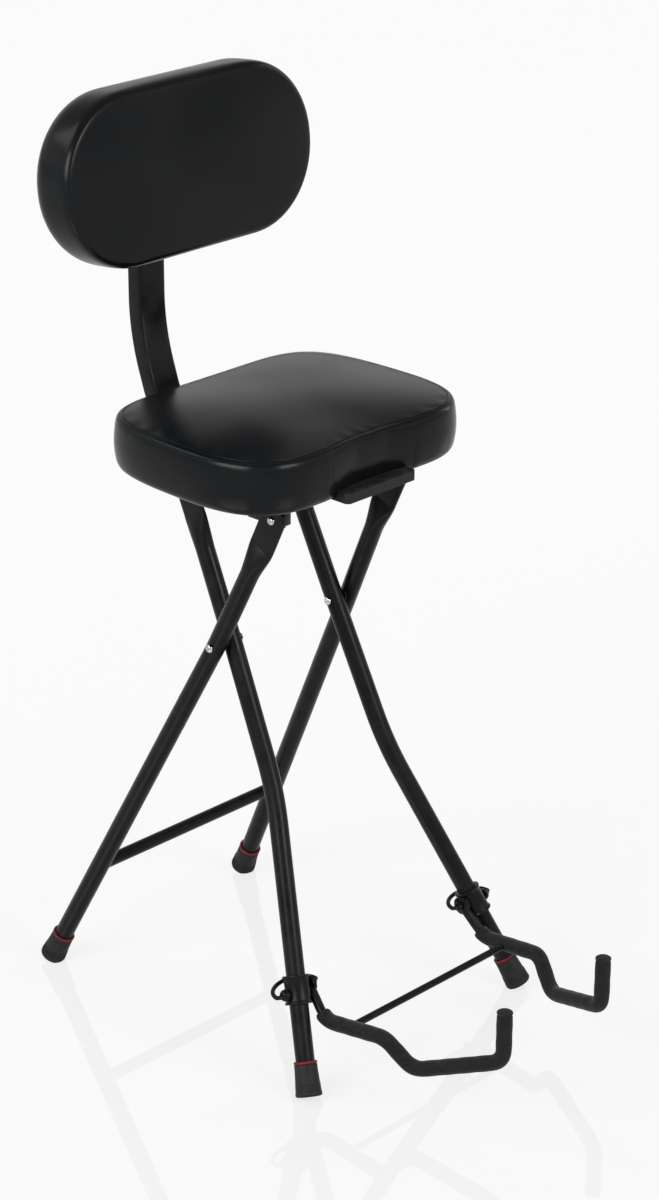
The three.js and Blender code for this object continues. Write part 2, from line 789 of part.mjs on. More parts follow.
// A screw or bolt with a low head, driven from a point in a direction
function screw(at, direction, radius, headRadius, headHeight, length, tip) {
  return lathed([
    [0, -headHeight],
    [headRadius * headShares.across, -headHeight],
    [headRadius, -headHeight * headShares.edge],
    [headRadius, 0],
    [radius, 0],
    [radius, length - tip],
    [0, length],
  ], screwSides, at.clone().addScaledVector(direction, -fitGap), direction);
}
const boardScrew = (at) => screw(
  at, axisZ, screwRadius, screwHeadRadius, screwHeadHeight, screwLength, screwTip);
frontScrews.forEach((at, k) => addPair(`front_bracket_screw_${k + 1}`, boardScrew(at), 'steel'));
rearScrews.forEach((at, k) => addPair(`rear_bracket_screw_${k + 1}`, boardScrew(at), 'steel'));

// Seat outline: a flat front with a shallow notch, full front corners, sides that draw in to the back
function seatOutline(inset, notch) {
  const half = new THREE.Path();
  const frontFlat = Math.max(seatFrontFlat, notchHalfWidth + notchFade);
  half.moveTo(0, seatFrontY);
  half.lineTo(frontFlat, seatFrontY);
  half.bezierCurveTo(
    THREE.MathUtils.lerp(frontFlat, seatHalfWidth, seatFrontShares[0]), seatFrontY,
    seatHalfWidth, THREE.MathUtils.lerp(seatFrontY, seatWidestY, seatFrontShares[1]),
    seatHalfWidth, seatWidestY);
  half.bezierCurveTo(
    seatHalfWidth, THREE.MathUtils.lerp(seatWidestY, seatBackY, seatBackShares[0]),
    THREE.MathUtils.lerp(seatBackFlat, seatHalfWidth, seatBackShares[1]), seatBackY,
    seatBackFlat, seatBackY);
  half.lineTo(0, seatBackY);
  const frontMarks = [
    0,
    notchHalfWidth * notchShares.inner,
    notchHalfWidth - notchFade,
    notchHalfWidth + notchFade * notchShares.outer,
  ];
  const points = frontMarks.map((x) => [x, seatFrontY]);
  for (const curve of half.curves.slice(1, 3)) {
    for (let k = 0; k <= seatCornerSteps; k += 1) {
      const p = curve.getPoint(k / seatCornerSteps);
      if (k > 0 || curve === half.curves[1]) points.push([p.x, p.y]);
    }
  }
  points.push([0, seatBackY]);
  const inward = points.map(([x, y], k) => {
    const [ax, ay] = points[Math.max(k - 1, 0)];
    const [bx, by] = points[Math.min(k + 1, points.length - 1)];
    let nx = -(by - ay);
    let ny = bx - ax;
    if (k === 0 || k === points.length - 1) nx = 0;
    const size = Math.hypot(nx, ny);
    nx /= size;
    ny /= size;
    const arch = Math.max(Math.cos((x / notchHalfWidth) * notchShares.reach), 0) ** notchShares.fullness;
    const dip = k < frontMarks.length - 1 ? notch * arch : 0;
    return [Math.max(x + nx * inset, 0), y + ny * inset + dip];
  });
  const left = inward.slice(1, -1).map(([x, y]) => [-x, y]).reverse();
  return [...inward, ...left];
}

const scaled = (outline, share, centreY) => outline
  .map(([x, y]) => [x * share, centreY + (y - centreY) * share]);

// Seat board, and the cushion that wraps it and is crowned on top
const boardTopZ = seatBaseZ + boardThickness;
const seatCentreY = (seatFrontY + seatBackY) / 2;
const postTopFaceZ = seatBaseZ - fitGap;
const postBolts = [0, 1].map((k) => vec(0, postBoltFrontY + postBoltSpacing * k, postTopFaceZ - postDepth));
const boardHole = (at, radius) => rod(
  vec(at.x, at.y, seatBaseZ - cutOverrun),
  vec(at.x, at.y, boardTopZ + cutOverrun),
  boreRadius(radius, screwSides), screwSides);
const mirrorPoint = (at) => vec(-at.x, at.y, at.z);
const bracketScrews = [...frontScrews, ...rearScrews];
addPart('seat_board', cut(
  plateZ(seatOutline(boardInset, notchDepth), seatBaseZ, boardTopZ),
  ...bracketScrews.map((at) => boardHole(at, screwRadius)),
  ...bracketScrews.map((at) => boardHole(mirrorPoint(at), screwRadius)),
  ...postBolts.map((at) => boardHole(at, boltRadius))), 'board');

const seatRings = (() => {
  const level = (z, inset, notchShare) => seatOutline(inset, notchDepth * notchShare)
    .map(([x, y]) => vec(x, y, z));
  const pocket = boardInset - fitGap;
  const side = seatSideShares.map(([rise, tuck, notchShare]) => level(
    THREE.MathUtils.lerp(seatBaseZ, seatSeamZ, rise), seatSideBulge * tuck, notchShare));
  const seamInset = seatSideBulge + seatSeamNip;
  const edge = seatOutline(seamInset, notchDepth * seatSeamNotchShare);
  return [
    level(boardTopZ + fitGap, pocket, 1),
    level(seatBaseZ, pocket, 1),
    level(seatBaseZ, seatEdgeRadius + seatSideBulge, 1),
    ...side,
    level(seatSeamZ - seatSeamBelow, seatSideBulge, seatSeamNotchShare),
    level(seatSeamZ, seamInset, seatSeamNotchShare),
    ...seatCrownShares.map(([share, lift]) => scaled(edge, share, seatCentreY)
      .map(([x, y]) => vec(x, y, seatSeamZ + seatCrown * lift))),
  ];
})();
addPart('seat_cushion', loft(seatRings), 'vinyl');

// Block under the front of the seat that carries the neck of the instrument
const restFrontY = seatFrontY - restProud;
const restBackY = seatFrontY + notchDepth - restGap;
const restLowZ = seatBaseZ - fitGap - restTongue;
const restOutline = [
  [restHalfWidth - restBevel, restFrontY],
  [restHalfWidth, restFrontY + restBevel],
  [restHalfWidth, restBackY],
  [-restHalfWidth, restBackY],
  [-restHalfWidth, restFrontY + restBevel],
  [-restHalfWidth + restBevel, restFrontY],
];
addPart('neck_rest', join(
  plateZ(restOutline, restLowZ, restLowZ + restHeight),
  block(
    vec(-restHalfWidth, restBackY - restBevel, restLowZ),
    vec(restHalfWidth, restBackY + restTongueReach, restLowZ + restTongue))), 'rubber');

// Back post: a bent rectangular tube, nipped on the inside of its bend
const postCentreZ = postTopFaceZ - postDepth / 2;
const postTopY = postElbowY + Math.tan(postLean) * (postTopZ - postElbowZ);
const postLine = roundedLine([
  vec(0, postFrontY, postCentreZ),
  vec(0, postKneeY, postCentreZ),
  vec(0, postElbowY, postElbowZ),
  vec(0, postTopY, postTopZ),
], [postKneeBend, postElbowBend], postBendSteps);

function postRing(frame, inset, crush) {
  const w = postWidth / 2 - inset;
  const d = postDepth / 2 - inset;
  const c = Math.max(postCorner - inset, postCornerLeast);
  const dent = w * postCrushShare;
  const shape = [
    [w - c, d], [dent, d - crush], [-dent, d - crush], [-w + c, d], [-w, d - c],
    [-w, -d + c], [-w + c, -d], [w - c, -d], [w, -d + c], [w, d - c],
  ];
  return shape.map(([a, b]) => frame.at.clone()
    .addScaledVector(frame.side, a)
    .addScaledVector(frame.up, b));
}

const postFrames = framesAlong(postLine, axisX);
const elbow = vec(0, postElbowY, postElbowZ);
const crushAt = (frame) => postCrush * Math.max(0, 1 - frame.at.distanceTo(elbow) / postElbowBend);
const frontSign = postFrames[postFrames.length - 1].up.y < 0 ? 1 : -1;
const facing = (frame) => ({ ...frame, up: frame.up.clone().multiplyScalar(frontSign) });
const postOuter = postFrames.map((frame) => postRing(facing(frame), 0, crushAt(frame)));
const postInner = postFrames.map((frame) => postRing(facing(frame), postWall, crushAt(frame)));
const post = loft([...postOuter, ...postInner.reverse()], true);
addPart('backrest_post', cut(post, ...postBolts.map((at) => rod(
  vec(at.x, at.y, at.z - cutOverrun),
  vec(at.x, at.y, at.z + postDepth + cutOverrun),
  boreRadius(boltRadius, screwSides), screwSides))), 'frame');
const postBoltLength = postDepth + boardThickness - fitGap * 2;
postBolts.forEach((at, k) => addPart(`post_bolt_${k + 1}`,
  screw(at, axisZ, boltRadius, boltHeadRadius, boltHeadHeight, postBoltLength, 0), 'steel'));

// The pad leans back further than the post does, on a wedge. Its pieces are built upright and
// then leaned about the middle of the pad's back; local -y faces the sitter.
const postFaceY = postElbowY + Math.tan(postLean) * (backCentreZ - plateHalfHeight - postElbowZ)
  - postDepth / 2 - fitGap;
const backBoardY = postFaceY - wedgeMiddle - fitGap;
const backFrontY = backBoardY - backBoardThickness;
const backZ = backCentreZ;
const lean = new THREE.Matrix4()
  .makeTranslation(0, backBoardY, backZ)
  .multiply(new THREE.Matrix4().makeRotationX(-padLean))
  .multiply(new THREE.Matrix4().makeTranslation(0, -backBoardY, -backZ));
const leaned = (geometry) => geometry.applyMatrix4(lean);

function stadium(halfWidth, halfHeight, radius, y, steps) {
  const r = Math.min(radius, halfHeight, halfWidth);
  const ring = [];
  [[1, 1], [-1, 1], [-1, -1], [1, -1]].forEach(([sideX, sideZ], quarter) => {
    for (let k = 0; k <= steps; k += 1) {
      const turn = (quarter + k / steps) * (Math.PI / 2);
      ring.push(vec(
        sideX * (halfWidth - r) + Math.cos(turn) * r, y,
        backZ + sideZ * (halfHeight - r) + Math.sin(turn) * r));
    }
  });
  return ring;
}
const backRing = (inset, y) => stadium(
  backHalfWidth - inset, backHalfHeight - inset, backCornerRadius - inset, y, backCornerSteps);
const plateRear = backBoardY + fitGap + wedgeMiddle;
const backScrews = [-plateScrewX, plateScrewX].map((x) => vec(x, backBoardY + fitGap + screwBoss, backZ));
const backScrewHole = (at, from, to, radius) => rod(
  vec(at.x, from, at.z), vec(at.x, to, at.z), boreRadius(radius, screwSides), screwSides);
const wedgeFront = leaned(block(
  vec(-plateHalfWidth * 2, backBoardY - backPadDepth, backZ - backHalfHeight),
  vec(plateHalfWidth * 2, backBoardY + fitGap, backZ + backHalfHeight)));
addPart('backrest_wedge', cut(
  loft([backBoardY - wedgeMiddle, plateRear]
    .map((y) => stadium(plateHalfWidth, plateHalfHeight, plateCorner, y, cornerSteps))),
  wedgeFront,
  ...backScrews.map((at) => leaned(backScrewHole(at, backFrontY, plateRear + cutOverrun, screwRadius))),
  ...backScrews.map((at) => leaned(backScrewHole(at, at.y, plateRear + cutOverrun, screwHeadRadius))),
), 'frame');
const boardScrewHole = (at) => backScrewHole(
  at, backFrontY - cutOverrun, backBoardY + cutOverrun, screwRadius);
addPart('backrest_board', leaned(cut(
  loft([backFrontY, backBoardY].map((y) => backRing(backBoardInset, y))),
  ...backScrews.map(boardScrewHole))), 'board');
const padFrontY = backBoardY - backPadDepth;
const backRings = [
  backRing(backBoardInset - fitGap, backFrontY - fitGap),
  backRing(backBoardInset - fitGap, backBoardY),
  ...backRearShares
    .map(([tuck, rise]) => backRing(backBoardInset * tuck, backBoardY - backRearRound * rise)),
  ...backFrontShares
    .map(([tuck, rise]) => backRing(backEdgeRadius * tuck, padFrontY + backEdgeRadius * rise)),
  ...backCrownShares.map(([tuck, lift]) => backRing(backHalfHeight * tuck, padFrontY - backCrown * lift)),
];
addPart('backrest_cushion', leaned(loft(backRings)), 'vinyl');
backScrews.forEach((at, k) => addPart(`backrest_screw_${k + 1}`, leaned(
  screw(at, vec(0, -1, 0), screwRadius, screwHeadRadius, screwHeadHeight, screwLength, screwTip)), 'steel'));
const plug = (() => {
  const frame = facing(postFrames[postFrames.length - 1]);
  const rings = [fitGap, fitGap + plugThickness].map((rise) => postRing(
    { ...frame, at: frame.at.clone().addScaledVector(frame.tangent, rise) }, 0, 0));
  return loft(rings);
})();
addPart('post_plug', plug, 'nylon');

// Cradle arms: an eye on the pin, a rod bent forward, down into a valley and up into a hook
const collarBore = boreRadius(tubeRadius, collarSides);
const collarOuter = collarBore + collarWall;
const eyeOuterX = cradleCentre.x - collarOuter - collarBead - fitGap * 3;
const eyeCentre = vec(eyeOuterX - eyeThickness / 2, cradleCentre.y, cradleCentre.z);
const armLine = roundedLine([
  eyeCentre,
  vec(armKneeX, armKneeY, armKneeZ),
  vec(armCrestX, armCrestY, armCrestZ),
  vec(armValleyX, armValleyY, armValleyZ),
  vec(hookBaseX, hookBaseY, hookBaseZ),
  vec(hookBaseX, hookBaseY, hookTipZ),
], armBendShares.map((share) => armBend * share), armBendSteps);
const armTotal = lineLength(armLine);
const armRod = sweptTube(lineSpan(armLine, eyeRadius * armRootShare, armTotal), armRadius, armSides);
const eyeDisc = rod(vec(eyeOuterX - eyeThickness, eyeCentre.y, eyeCentre.z),
  vec(eyeOuterX, eyeCentre.y, eyeCentre.z), eyeRadius, tubeSides);
const crossNext = armLine.findIndex((p) => p.y < crossRodY);
const crossShare = (crossRodY - armLine[crossNext - 1].y) / (armLine[crossNext].y - armLine[crossNext - 1].y);
const crossEnd = armLine[crossNext - 1].clone().lerp(armLine[crossNext], crossShare);
const pinHole = holeThrough(eyeCentre, boreRadius(pinRadius, rivetSides), eyeThickness + cutOverrun);
const collarSweep = Math.hypot(collarLength / 2, collarOuter + collarBead) + fitGap * 2;
const armFlat = rod(vec(eyeOuterX, eyeCentre.y, eyeCentre.z),
  vec(eyeOuterX + tubeRadius * 2, eyeCentre.y, eyeCentre.z), collarSweep, tubeSides * 2);
addPair('cradle_arm', cut(join(armRod, eyeDisc), pinHole, armFlat), 'frame');

const crossHole = rod(
  vec(0, crossEnd.y, crossEnd.z), crossEnd, boreRadius(crossRodRadius, armSides), armSides);
const sleeveLine = lineSpan(armLine, sleeveStart, armTotal - sleeveShort);
const sleeveBore = boreRadius(armRadius, sleeveSides);
addPair('cradle_sleeve', cut(
  sweptTube(sleeveLine, sleeveRadius, sleeveSides, sleeveBore), crossHole), 'foam');
addPair('cradle_cap', lathed([
  [0, fitGap],
  [sleeveRadius, fitGap],
  [sleeveRadius, fitGap + capThickness * capShares.edge],
  [sleeveRadius * capShares.across, fitGap + capThickness],
  [0, fitGap + capThickness],
], sleeveSides, armLine[armLine.length - 1], axisZ), 'rubber');

// The cross rod runs from arm to arm, through a hole in each sleeve
const armClear = sweptTube(armLine, boreRadius(armRadius, armSides), armSides);
addPart('cradle_cross_rod', cut(
  rod(mirrorPoint(crossEnd), crossEnd, crossRodRadius, armSides), armClear, mirrored(armClear, -1)), 'frame');

// Collars on the front legs, with a beaded rim at each end and a hole for the pin
const legDown = frontFloor.clone().sub(frontBend).normalize();
const collarStart = cradleCentre.clone().addScaledVector(legDown, -collarLength / 2);
addPair('cradle_collar', cut(lathed([
  [collarBore, 0],
  [collarOuter + collarBead, 0],
  [collarOuter + collarBead, collarBead * 2],
  [collarOuter, collarBead * 3],
  [collarOuter, collarLength - collarBead * 3],
  [collarOuter + collarBead, collarLength - collarBead * 2],
  [collarOuter + collarBead, collarLength],
  [collarBore, collarLength],
  [collarBore, 0],
], collarSides, collarStart, legDown),
holeThrough(cradleCentre, boreRadius(pinRadius, rivetSides), legReach * 2),
block(
  vec(eyeOuterX - eyeThickness * 2, cradleCentre.y - eyeRadius * 2, cradleCentre.z - eyeRadius * 2),
  vec(eyeOuterX + fitGap, cradleCentre.y + eyeRadius * 2, cradleCentre.z + eyeRadius * 2))), 'frame');

// Pins through collar, leg and eye; each end has a socket for the wire bail
const legSplay = (frontFootX - bendX) / bendZ;
const pinOuterX = cradleCentre.x + collarOuter * Math.hypot(1, legSplay) + pinHeadRadius * legSplay + fitGap;
const pinInnerX = eyeOuterX - eyeThickness - fitGap;
const socket = boreRadius(bailRadius, rivetSides);
addPair('cradle_pin', lathed([
  [0, pinInnerX - pinEndHeight + bailSocket],
  [socket, pinInnerX - pinEndHeight + bailSocket],
  [socket, pinInnerX - pinEndHeight],
  [pinEndRadius, pinInnerX - pinEndHeight],
  [pinEndRadius, pinInnerX],
  [pinRadius, pinInnerX],
  [pinRadius, pinOuterX],
  [pinHeadRadius, pinOuterX],
  [pinHeadRadius, pinOuterX + pinHeadHeight * pinShares.rim],
  [pinHeadRadius * pinShares.across, pinOuterX + pinHeadHeight * pinShares.dome],
  [pinHeadRadius * pinShares.top, pinOuterX + pinHeadHeight],
  [socket, pinOuterX + pinHeadHeight],
  [socket, pinOuterX + pinHeadHeight - bailSocket],
  [0, pinOuterX + pinHeadHeight - bailSocket],
], rivetSides, vec(0, cradleCentre.y, cradleCentre.z), axisX), 'frame');

const bailLow = pinInnerX - pinEndHeight + bailSocket - fitGap;
const bailHigh = pinOuterX + pinHeadHeight - bailSocket + fitGap;
const bailLine = (() => {
  const back = vec(0, Math.cos(bailRise), Math.sin(bailRise));
  const at = (x, out) => vec(x, cradleCentre.y, cradleCentre.z).addScaledVector(back, out);
  const points = [at(bailLow, 0), at(bailLow - bailSocket - bailReach, 0)];
  const [xLow, xHigh] = [bailLow - bailSocket - bailStub, bailHigh + bailSocket + bailStub];
  const middle = (xLow + xHigh) / 2;
  const half = (xHigh - xLow) / 2;
  for (let k = 0; k <= bailSteps; k += 1) {
    const turn = Math.PI * (k / bailSteps);
    points.push(at(middle - Math.cos(turn) * half, bailStart + Math.sin(turn) * bailDepth));
  }
  points.push(at(bailHigh + bailSocket + bailReach, 0), at(bailHigh, 0));
  return points;
})();
const bailSide = vec(0, -Math.sin(bailRise), Math.cos(bailRise));
addPair('pin_bail', (() => {
  const frames = framesAlong(bailLine, bailSide);
  return loft(frames.map((frame) => circleRing(frame, bailRadius, bailSides)));
})(), 'frame');

// The origin is on the floor, in the middle of everything the stool covers
stool.updateMatrixWorld(true);
const reach = new THREE.Box3().setFromObject(stool, true);
stool.position.set(0, -(reach.min.y + reach.max.y) / 2, -reach.min.z);

export default stool;
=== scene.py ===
import math
import bmesh
import bpy
from mathutils import Matrix, Vector


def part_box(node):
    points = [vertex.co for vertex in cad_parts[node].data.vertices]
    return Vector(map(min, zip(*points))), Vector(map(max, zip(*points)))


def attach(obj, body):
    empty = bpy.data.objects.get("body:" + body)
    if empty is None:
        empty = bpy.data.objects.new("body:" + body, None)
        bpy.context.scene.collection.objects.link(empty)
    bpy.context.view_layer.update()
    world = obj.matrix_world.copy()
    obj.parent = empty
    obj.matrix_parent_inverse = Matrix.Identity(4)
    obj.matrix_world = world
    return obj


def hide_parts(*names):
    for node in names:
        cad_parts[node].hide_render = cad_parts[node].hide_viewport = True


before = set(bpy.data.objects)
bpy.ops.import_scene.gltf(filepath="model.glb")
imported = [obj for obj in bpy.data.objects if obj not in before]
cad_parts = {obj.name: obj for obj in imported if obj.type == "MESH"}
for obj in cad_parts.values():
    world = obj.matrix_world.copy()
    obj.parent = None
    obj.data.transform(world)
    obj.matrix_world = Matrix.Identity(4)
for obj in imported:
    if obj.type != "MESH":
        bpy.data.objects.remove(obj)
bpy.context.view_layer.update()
print("frame loaded")

scene = bpy.context.scene
pivotBox = [Vector(corner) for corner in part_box("scissor_rivet_left")]
pivotMiddle = (pivotBox[0] + pivotBox[1]) / 2
pivotHeight = 0.421  # the drawings below are in millimetres, with the scissor pivot at Y 0, Z 421
gap = 0.3  # between pieces that meet
drawingShift = Vector((0, pivotMiddle.y, pivotMiddle.z - pivotHeight))

# small tools
sideways, backwards, upwards = Vector((1, 0, 0)), Vector((0, 1, 0)), Vector((0, 0, 1))


def lerp(a, b, share):
    return a + (b - a) * share


def smoothstep(value, low, high):
    share = min(max((value - low) / (high - low), 0), 1)
    return share * share * (3 - 2 * share)


def place(point):
    return Vector(point) * 0.001 + drawingShift


def linked(name, data):
    obj = bpy.data.objects.new(name, data)
    scene.collection.objects.link(obj)
    return obj


def weld(mesh):
    shell = bmesh.new()
    shell.from_mesh(mesh)
    bmesh.ops.remove_doubles(shell, verts=shell.verts, dist=1e-6)
    bmesh.ops.recalc_face_normals(shell, faces=shell.faces)
    shell.to_mesh(mesh)
    shell.free()


def meshObject(name, points, faces, edges=()):
    mesh = bpy.data.meshes.new(name)
    mesh.from_pydata([place(p) for p in points], list(edges), faces)
    if faces:
        weld(mesh)
    return linked(name, mesh)


def shadeSmooth(obj, sharpAngle=38):
    obj.data.shade_smooth()
    obj.data.set_sharp_from_angle(angle=math.radians(sharpAngle))
    return obj


def settle(obj):
    evaluated = obj.evaluated_get(bpy.context.evaluated_depsgraph_get())
    mesh = bpy.data.meshes.new_from_object(evaluated)
    obj.modifiers.clear()
    obj.data = mesh
    return obj


def bevelled(obj, width, segments=3, angle=30):
    bevel = obj.modifiers.new("roundedEdges", "BEVEL")
    bevel.width = width * 0.001
    bevel.segments = segments
    bevel.limit_method = "ANGLE"
    bevel.angle_limit = math.radians(angle)
    bevel.harden_normals = False
    return shadeSmooth(settle(obj), 50)


def loft(rings, looped=False):
    count = len(rings[0])
    faces = []
    for k in range(len(rings) - (0 if looped else 1)):
        low, high = k * count, ((k + 1) % len(rings)) * count
        for i in range(count):
            j = (i + 1) % count
            faces.append((low + i, low + j, high + j, high + i))
    if not looped:
        faces.append(tuple(reversed(range(count))))
        faces.append(tuple(range((len(rings) - 1) * count, len(rings) * count)))
    return [p for ring in rings for p in ring], faces


def roundedLine(corners, reaches, steps):
    points = [corners[0]]
    for before, corner, after, reach in zip(corners, corners[1:], corners[2:], reaches):
        start = corner + (before - corner).normalized() * reach
        end = corner + (after - corner).normalized() * reach
        for k in range(steps + 1):
            t = k / steps
            points.append(start * (1 - t) ** 2 + corner * 2 * t * (1 - t) + end * t * t)
    return points + [corners[-1]]


def pointAlong(line, distance):
    for a, b in zip(line, line[1:]):
        step = (b - a).length
        if distance <= step:
            return a.lerp(b, max(distance, 0) / step) if step else a.copy()
        distance -= step
    return line[-1].copy()


def lineLength(line):
    return sum((b - a).length for a, b in zip(line, line[1:]))


def spanOf(line, start, end, pitch):
    count = max(2, round((end - start) / pitch))
    return [pointAlong(line, lerp(start, end, k / count)) for k in range(count + 1)]


def framesAlong(points, firstSide):
    frames, side = [], firstSide.copy()
    for k, at in enumerate(points):
        tangent = (points[min(k + 1, len(points) - 1)] - points[max(k - 1, 0)]).normalized()
        side = (side - tangent * side.dot(tangent)).normalized()
        frames.append((at, tangent, side.copy(), tangent.cross(side)))
    return frames


def axesOf(direction):
    along = direction.normalized()
    side = (sideways if abs(along.x) < 0.9 else backwards).cross(along).normalized()
    return along, side, along.cross(side)


def circleRing(at, side, up, radius, steps):
    return [at + (side * math.cos(t) + up * math.sin(t)) * radius
            for t in (2 * math.pi * i / steps for i in range(steps))]


def lathe(name, profile, origin, direction, steps=48):
    along, side, up = axesOf(direction)
    rings = [circleRing(origin + along * height, side, up, max(radius, 1e-4), steps) for radius, height in profile]
    return shadeSmooth(meshObject(name, *loft(rings)))


def cornerArcs(halfWidth, halfHeight, radius, steps):
    x, y = halfWidth - radius, halfHeight - radius
    return [[(cx + math.cos(t) * radius, cy + math.sin(t) * radius)
             for t in (math.radians(start + 90 * k / (steps - 1)) for k in range(steps))]
            for cx, cy, start in ((x, y, 0), (-x, y, 90), (-x, -y, 180), (x, -y, 270))]


def mirrorCopy(obj, name):
    mesh = obj.data.copy()
    mesh.transform(Matrix.Scale(-1, 4, sideways))
    mesh.flip_normals()
    return linked(name, mesh)


def smoothCopy(node, name, width, segments=2, angle=30):
    mesh = bpy.data.objects[node].data.copy()
    shell = bmesh.new()
    shell.from_mesh(mesh)
    bmesh.ops.remove_doubles(shell, verts=shell.verts, dist=2e-6)
    bmesh.ops.dissolve_limit(shell, angle_limit=math.radians(1.5), verts=shell.verts, edges=shell.edges)
    shell.to_mesh(mesh)
    shell.free()
    return bevelled(linked(name, mesh), width, segments, angle)


# camera
view = {
    "fromPivot": Vector((-2.2874, -2.2339, 1.3784)), "yaw": 46.528, "pitch": 22.999, "roll": -0.0078, "lens": 99.6,
}


def aimCamera():
    yaw, pitch = math.radians(view["yaw"]), math.radians(view["pitch"])
    forward = Vector((math.sin(yaw) * math.cos(pitch), math.cos(yaw) * math.cos(pitch), -math.sin(pitch)))
    right = Vector((math.cos(yaw), -math.sin(yaw), 0))
    down = forward.cross(right)
    c, s = math.cos(view["roll"]), math.sin(view["roll"])
    right, down = right * c + down * s, down * c - right * s
    lens = bpy.data.cameras.new("photoCamera")
    lens.lens, lens.sensor_width = view["lens"], 36
    camera = linked("photoCamera", lens)
    turn = Matrix((right, -down, -forward)).transposed().to_4x4()
    camera.matrix_world = Matrix.Translation(Vector((0, pivotMiddle.y, pivotMiddle.z)) + view["fromPivot"]) @ turn
    scene.camera = camera


aimCamera()

# light, floor and world
studio = {
    "floorSize": 40, "floorDiffuse": 0.16, "floorGlow": 0.935, "floorMirror": 0.2, "floorMirrorBlur": 0.0,
    "ambient": 0.36, "horizonGloss": 0.55, "lowerGloss": 1.0, "upperGloss": 0.3, "horizonFade": (0.03, 0.2),
    "glossFade": (0.2, 0.62),
    "lamps": {
        "overheadBox": {"at": (-1.2, 1.8, 2.4), "aim": (0, 0.2, 0.85), "size": (1.1, 0.9), "power": 9},
        "leftBox": {"at": (-2.7, 0.05, 1.95), "aim": (0, 0, 0.6), "size": (2.0, 1.2), "power": 75},
        "frontBox": {"at": (0.25, -2.8, 1.95), "aim": (0, 0, 0.6), "size": (1.4, 1.2), "power": 52},
        "sideBox": {"at": (2.6, -0.6, 1.4), "aim": (0, 0.1, 0.5), "size": (0.3, 1.6), "power": 7},
    },
}


def addNode(tree, kind, inputs=None, **settings):
    made = tree.nodes.new(kind)
    for key, value in settings.items():
        setattr(made, key, value)
    for key, value in (inputs or {}).items():
        if isinstance(value, bpy.types.NodeSocket):
            tree.links.new(value, made.inputs[key])
        else:
            made.inputs[key].default_value = value
    return made


def flow(tree, kind, inputs=None, **settings):
    return addNode(tree, kind, inputs, **settings).outputs[0]


def newMaterial(name):
    material = bpy.data.materials.new(name)
    material.use_nodes = True
    return material, material.node_tree


def seenShare(tree):
    path = addNode(tree, "ShaderNodeLightPath").outputs
    seen = flow(tree, "ShaderNodeMath", {0: path["Is Camera Ray"], 1: path["Is Glossy Ray"]}, operation="MAXIMUM")
    seen = flow(tree, "ShaderNodeMath", {0: seen, 1: path["Is Transmission Ray"]}, operation="MAXIMUM")
    return path["Is Camera Ray"], seen


def makeFloor():
    half = studio["floorSize"] / 2
    mesh = bpy.data.meshes.new("studioFloor")
    mesh.from_pydata([(-half, -half, 0), (half, -half, 0), (half, half, 0), (-half, half, 0)], [], [(0, 1, 2, 3)])
    floor = linked("studioFloor", mesh)
    material, tree = newMaterial("paleFloor")
    tree.nodes.clear()
    seen = seenShare(tree)[1]
    diffuse = flow(tree, "ShaderNodeBsdfDiffuse", {"Color": (*[studio["floorDiffuse"]] * 3, 1)})
    strength = flow(tree, "ShaderNodeMath", {0: seen, 1: studio["floorGlow"]}, operation="MULTIPLY")
    glow = flow(tree, "ShaderNodeEmission", {"Strength": strength})
    mirror = flow(tree, "ShaderNodeBsdfGlossy", {"Roughness": studio["floorMirrorBlur"]})
    base = flow(tree, "ShaderNodeAddShader", {0: diffuse, 1: glow})
    mixed = flow(tree, "ShaderNodeMixShader", {0: studio["floorMirror"], 1: base, 2: mirror})
    addNode(tree, "ShaderNodeOutputMaterial", {"Surface": mixed})
    mesh.materials.append(material)


def eased(tree, value, span, reach):
    return flow(tree, "ShaderNodeMapRange", {
        "Value": value, "From Min": span[0], "From Max": span[1], "To Min": reach[0], "To Max": reach[1]},
        interpolation_type="SMOOTHSTEP")


def makeWorld():
    world = bpy.data.worlds.new("studioWorld")
    scene.world = world
    world.use_nodes = True
    tree = world.node_tree
    tree.nodes.clear()
    camera, seen = seenShare(tree)
    direction = addNode(tree, "ShaderNodeTexCoord").outputs["Generated"]
    height = addNode(tree, "ShaderNodeSeparateXYZ", {"Vector": direction}).outputs["Z"]
    upper = eased(tree, height, studio["glossFade"], (studio["lowerGloss"], studio["upperGloss"]))
    level = eased(tree, height, studio["horizonFade"], (studio["horizonGloss"], upper))
    white = flow(tree, "ShaderNodeMath", {0: camera, 1: level}, operation="MAXIMUM")
    strength = flow(tree, "ShaderNodeMapRange", {"Value": seen, "To Min": studio["ambient"], "To Max": white})
    glow = flow(tree, "ShaderNodeBackground", {"Color": (1, 1, 1, 1), "Strength": strength})
    addNode(tree, "ShaderNodeOutputWorld", {"Surface": glow})


def makeLamps():
    for name, lamp in studio["lamps"].items():
        light = bpy.data.lights.new(name, "AREA")
        light.shape = "RECTANGLE"
        light.size, light.size_y = lamp["size"]
        light.energy = lamp["power"]
        obj = linked(name, light)
        at, aim = Vector(lamp["at"]), Vector(lamp["aim"])
        obj.matrix_world = Matrix.Translation(at) @ (aim - at).to_track_quat("-Z", "Y").to_matrix().to_4x4()
        obj.visible_camera = False


makeFloor()
makeWorld()
makeLamps()
scene.view_settings.view_transform = "Standard"
print("camera, floor and light set")

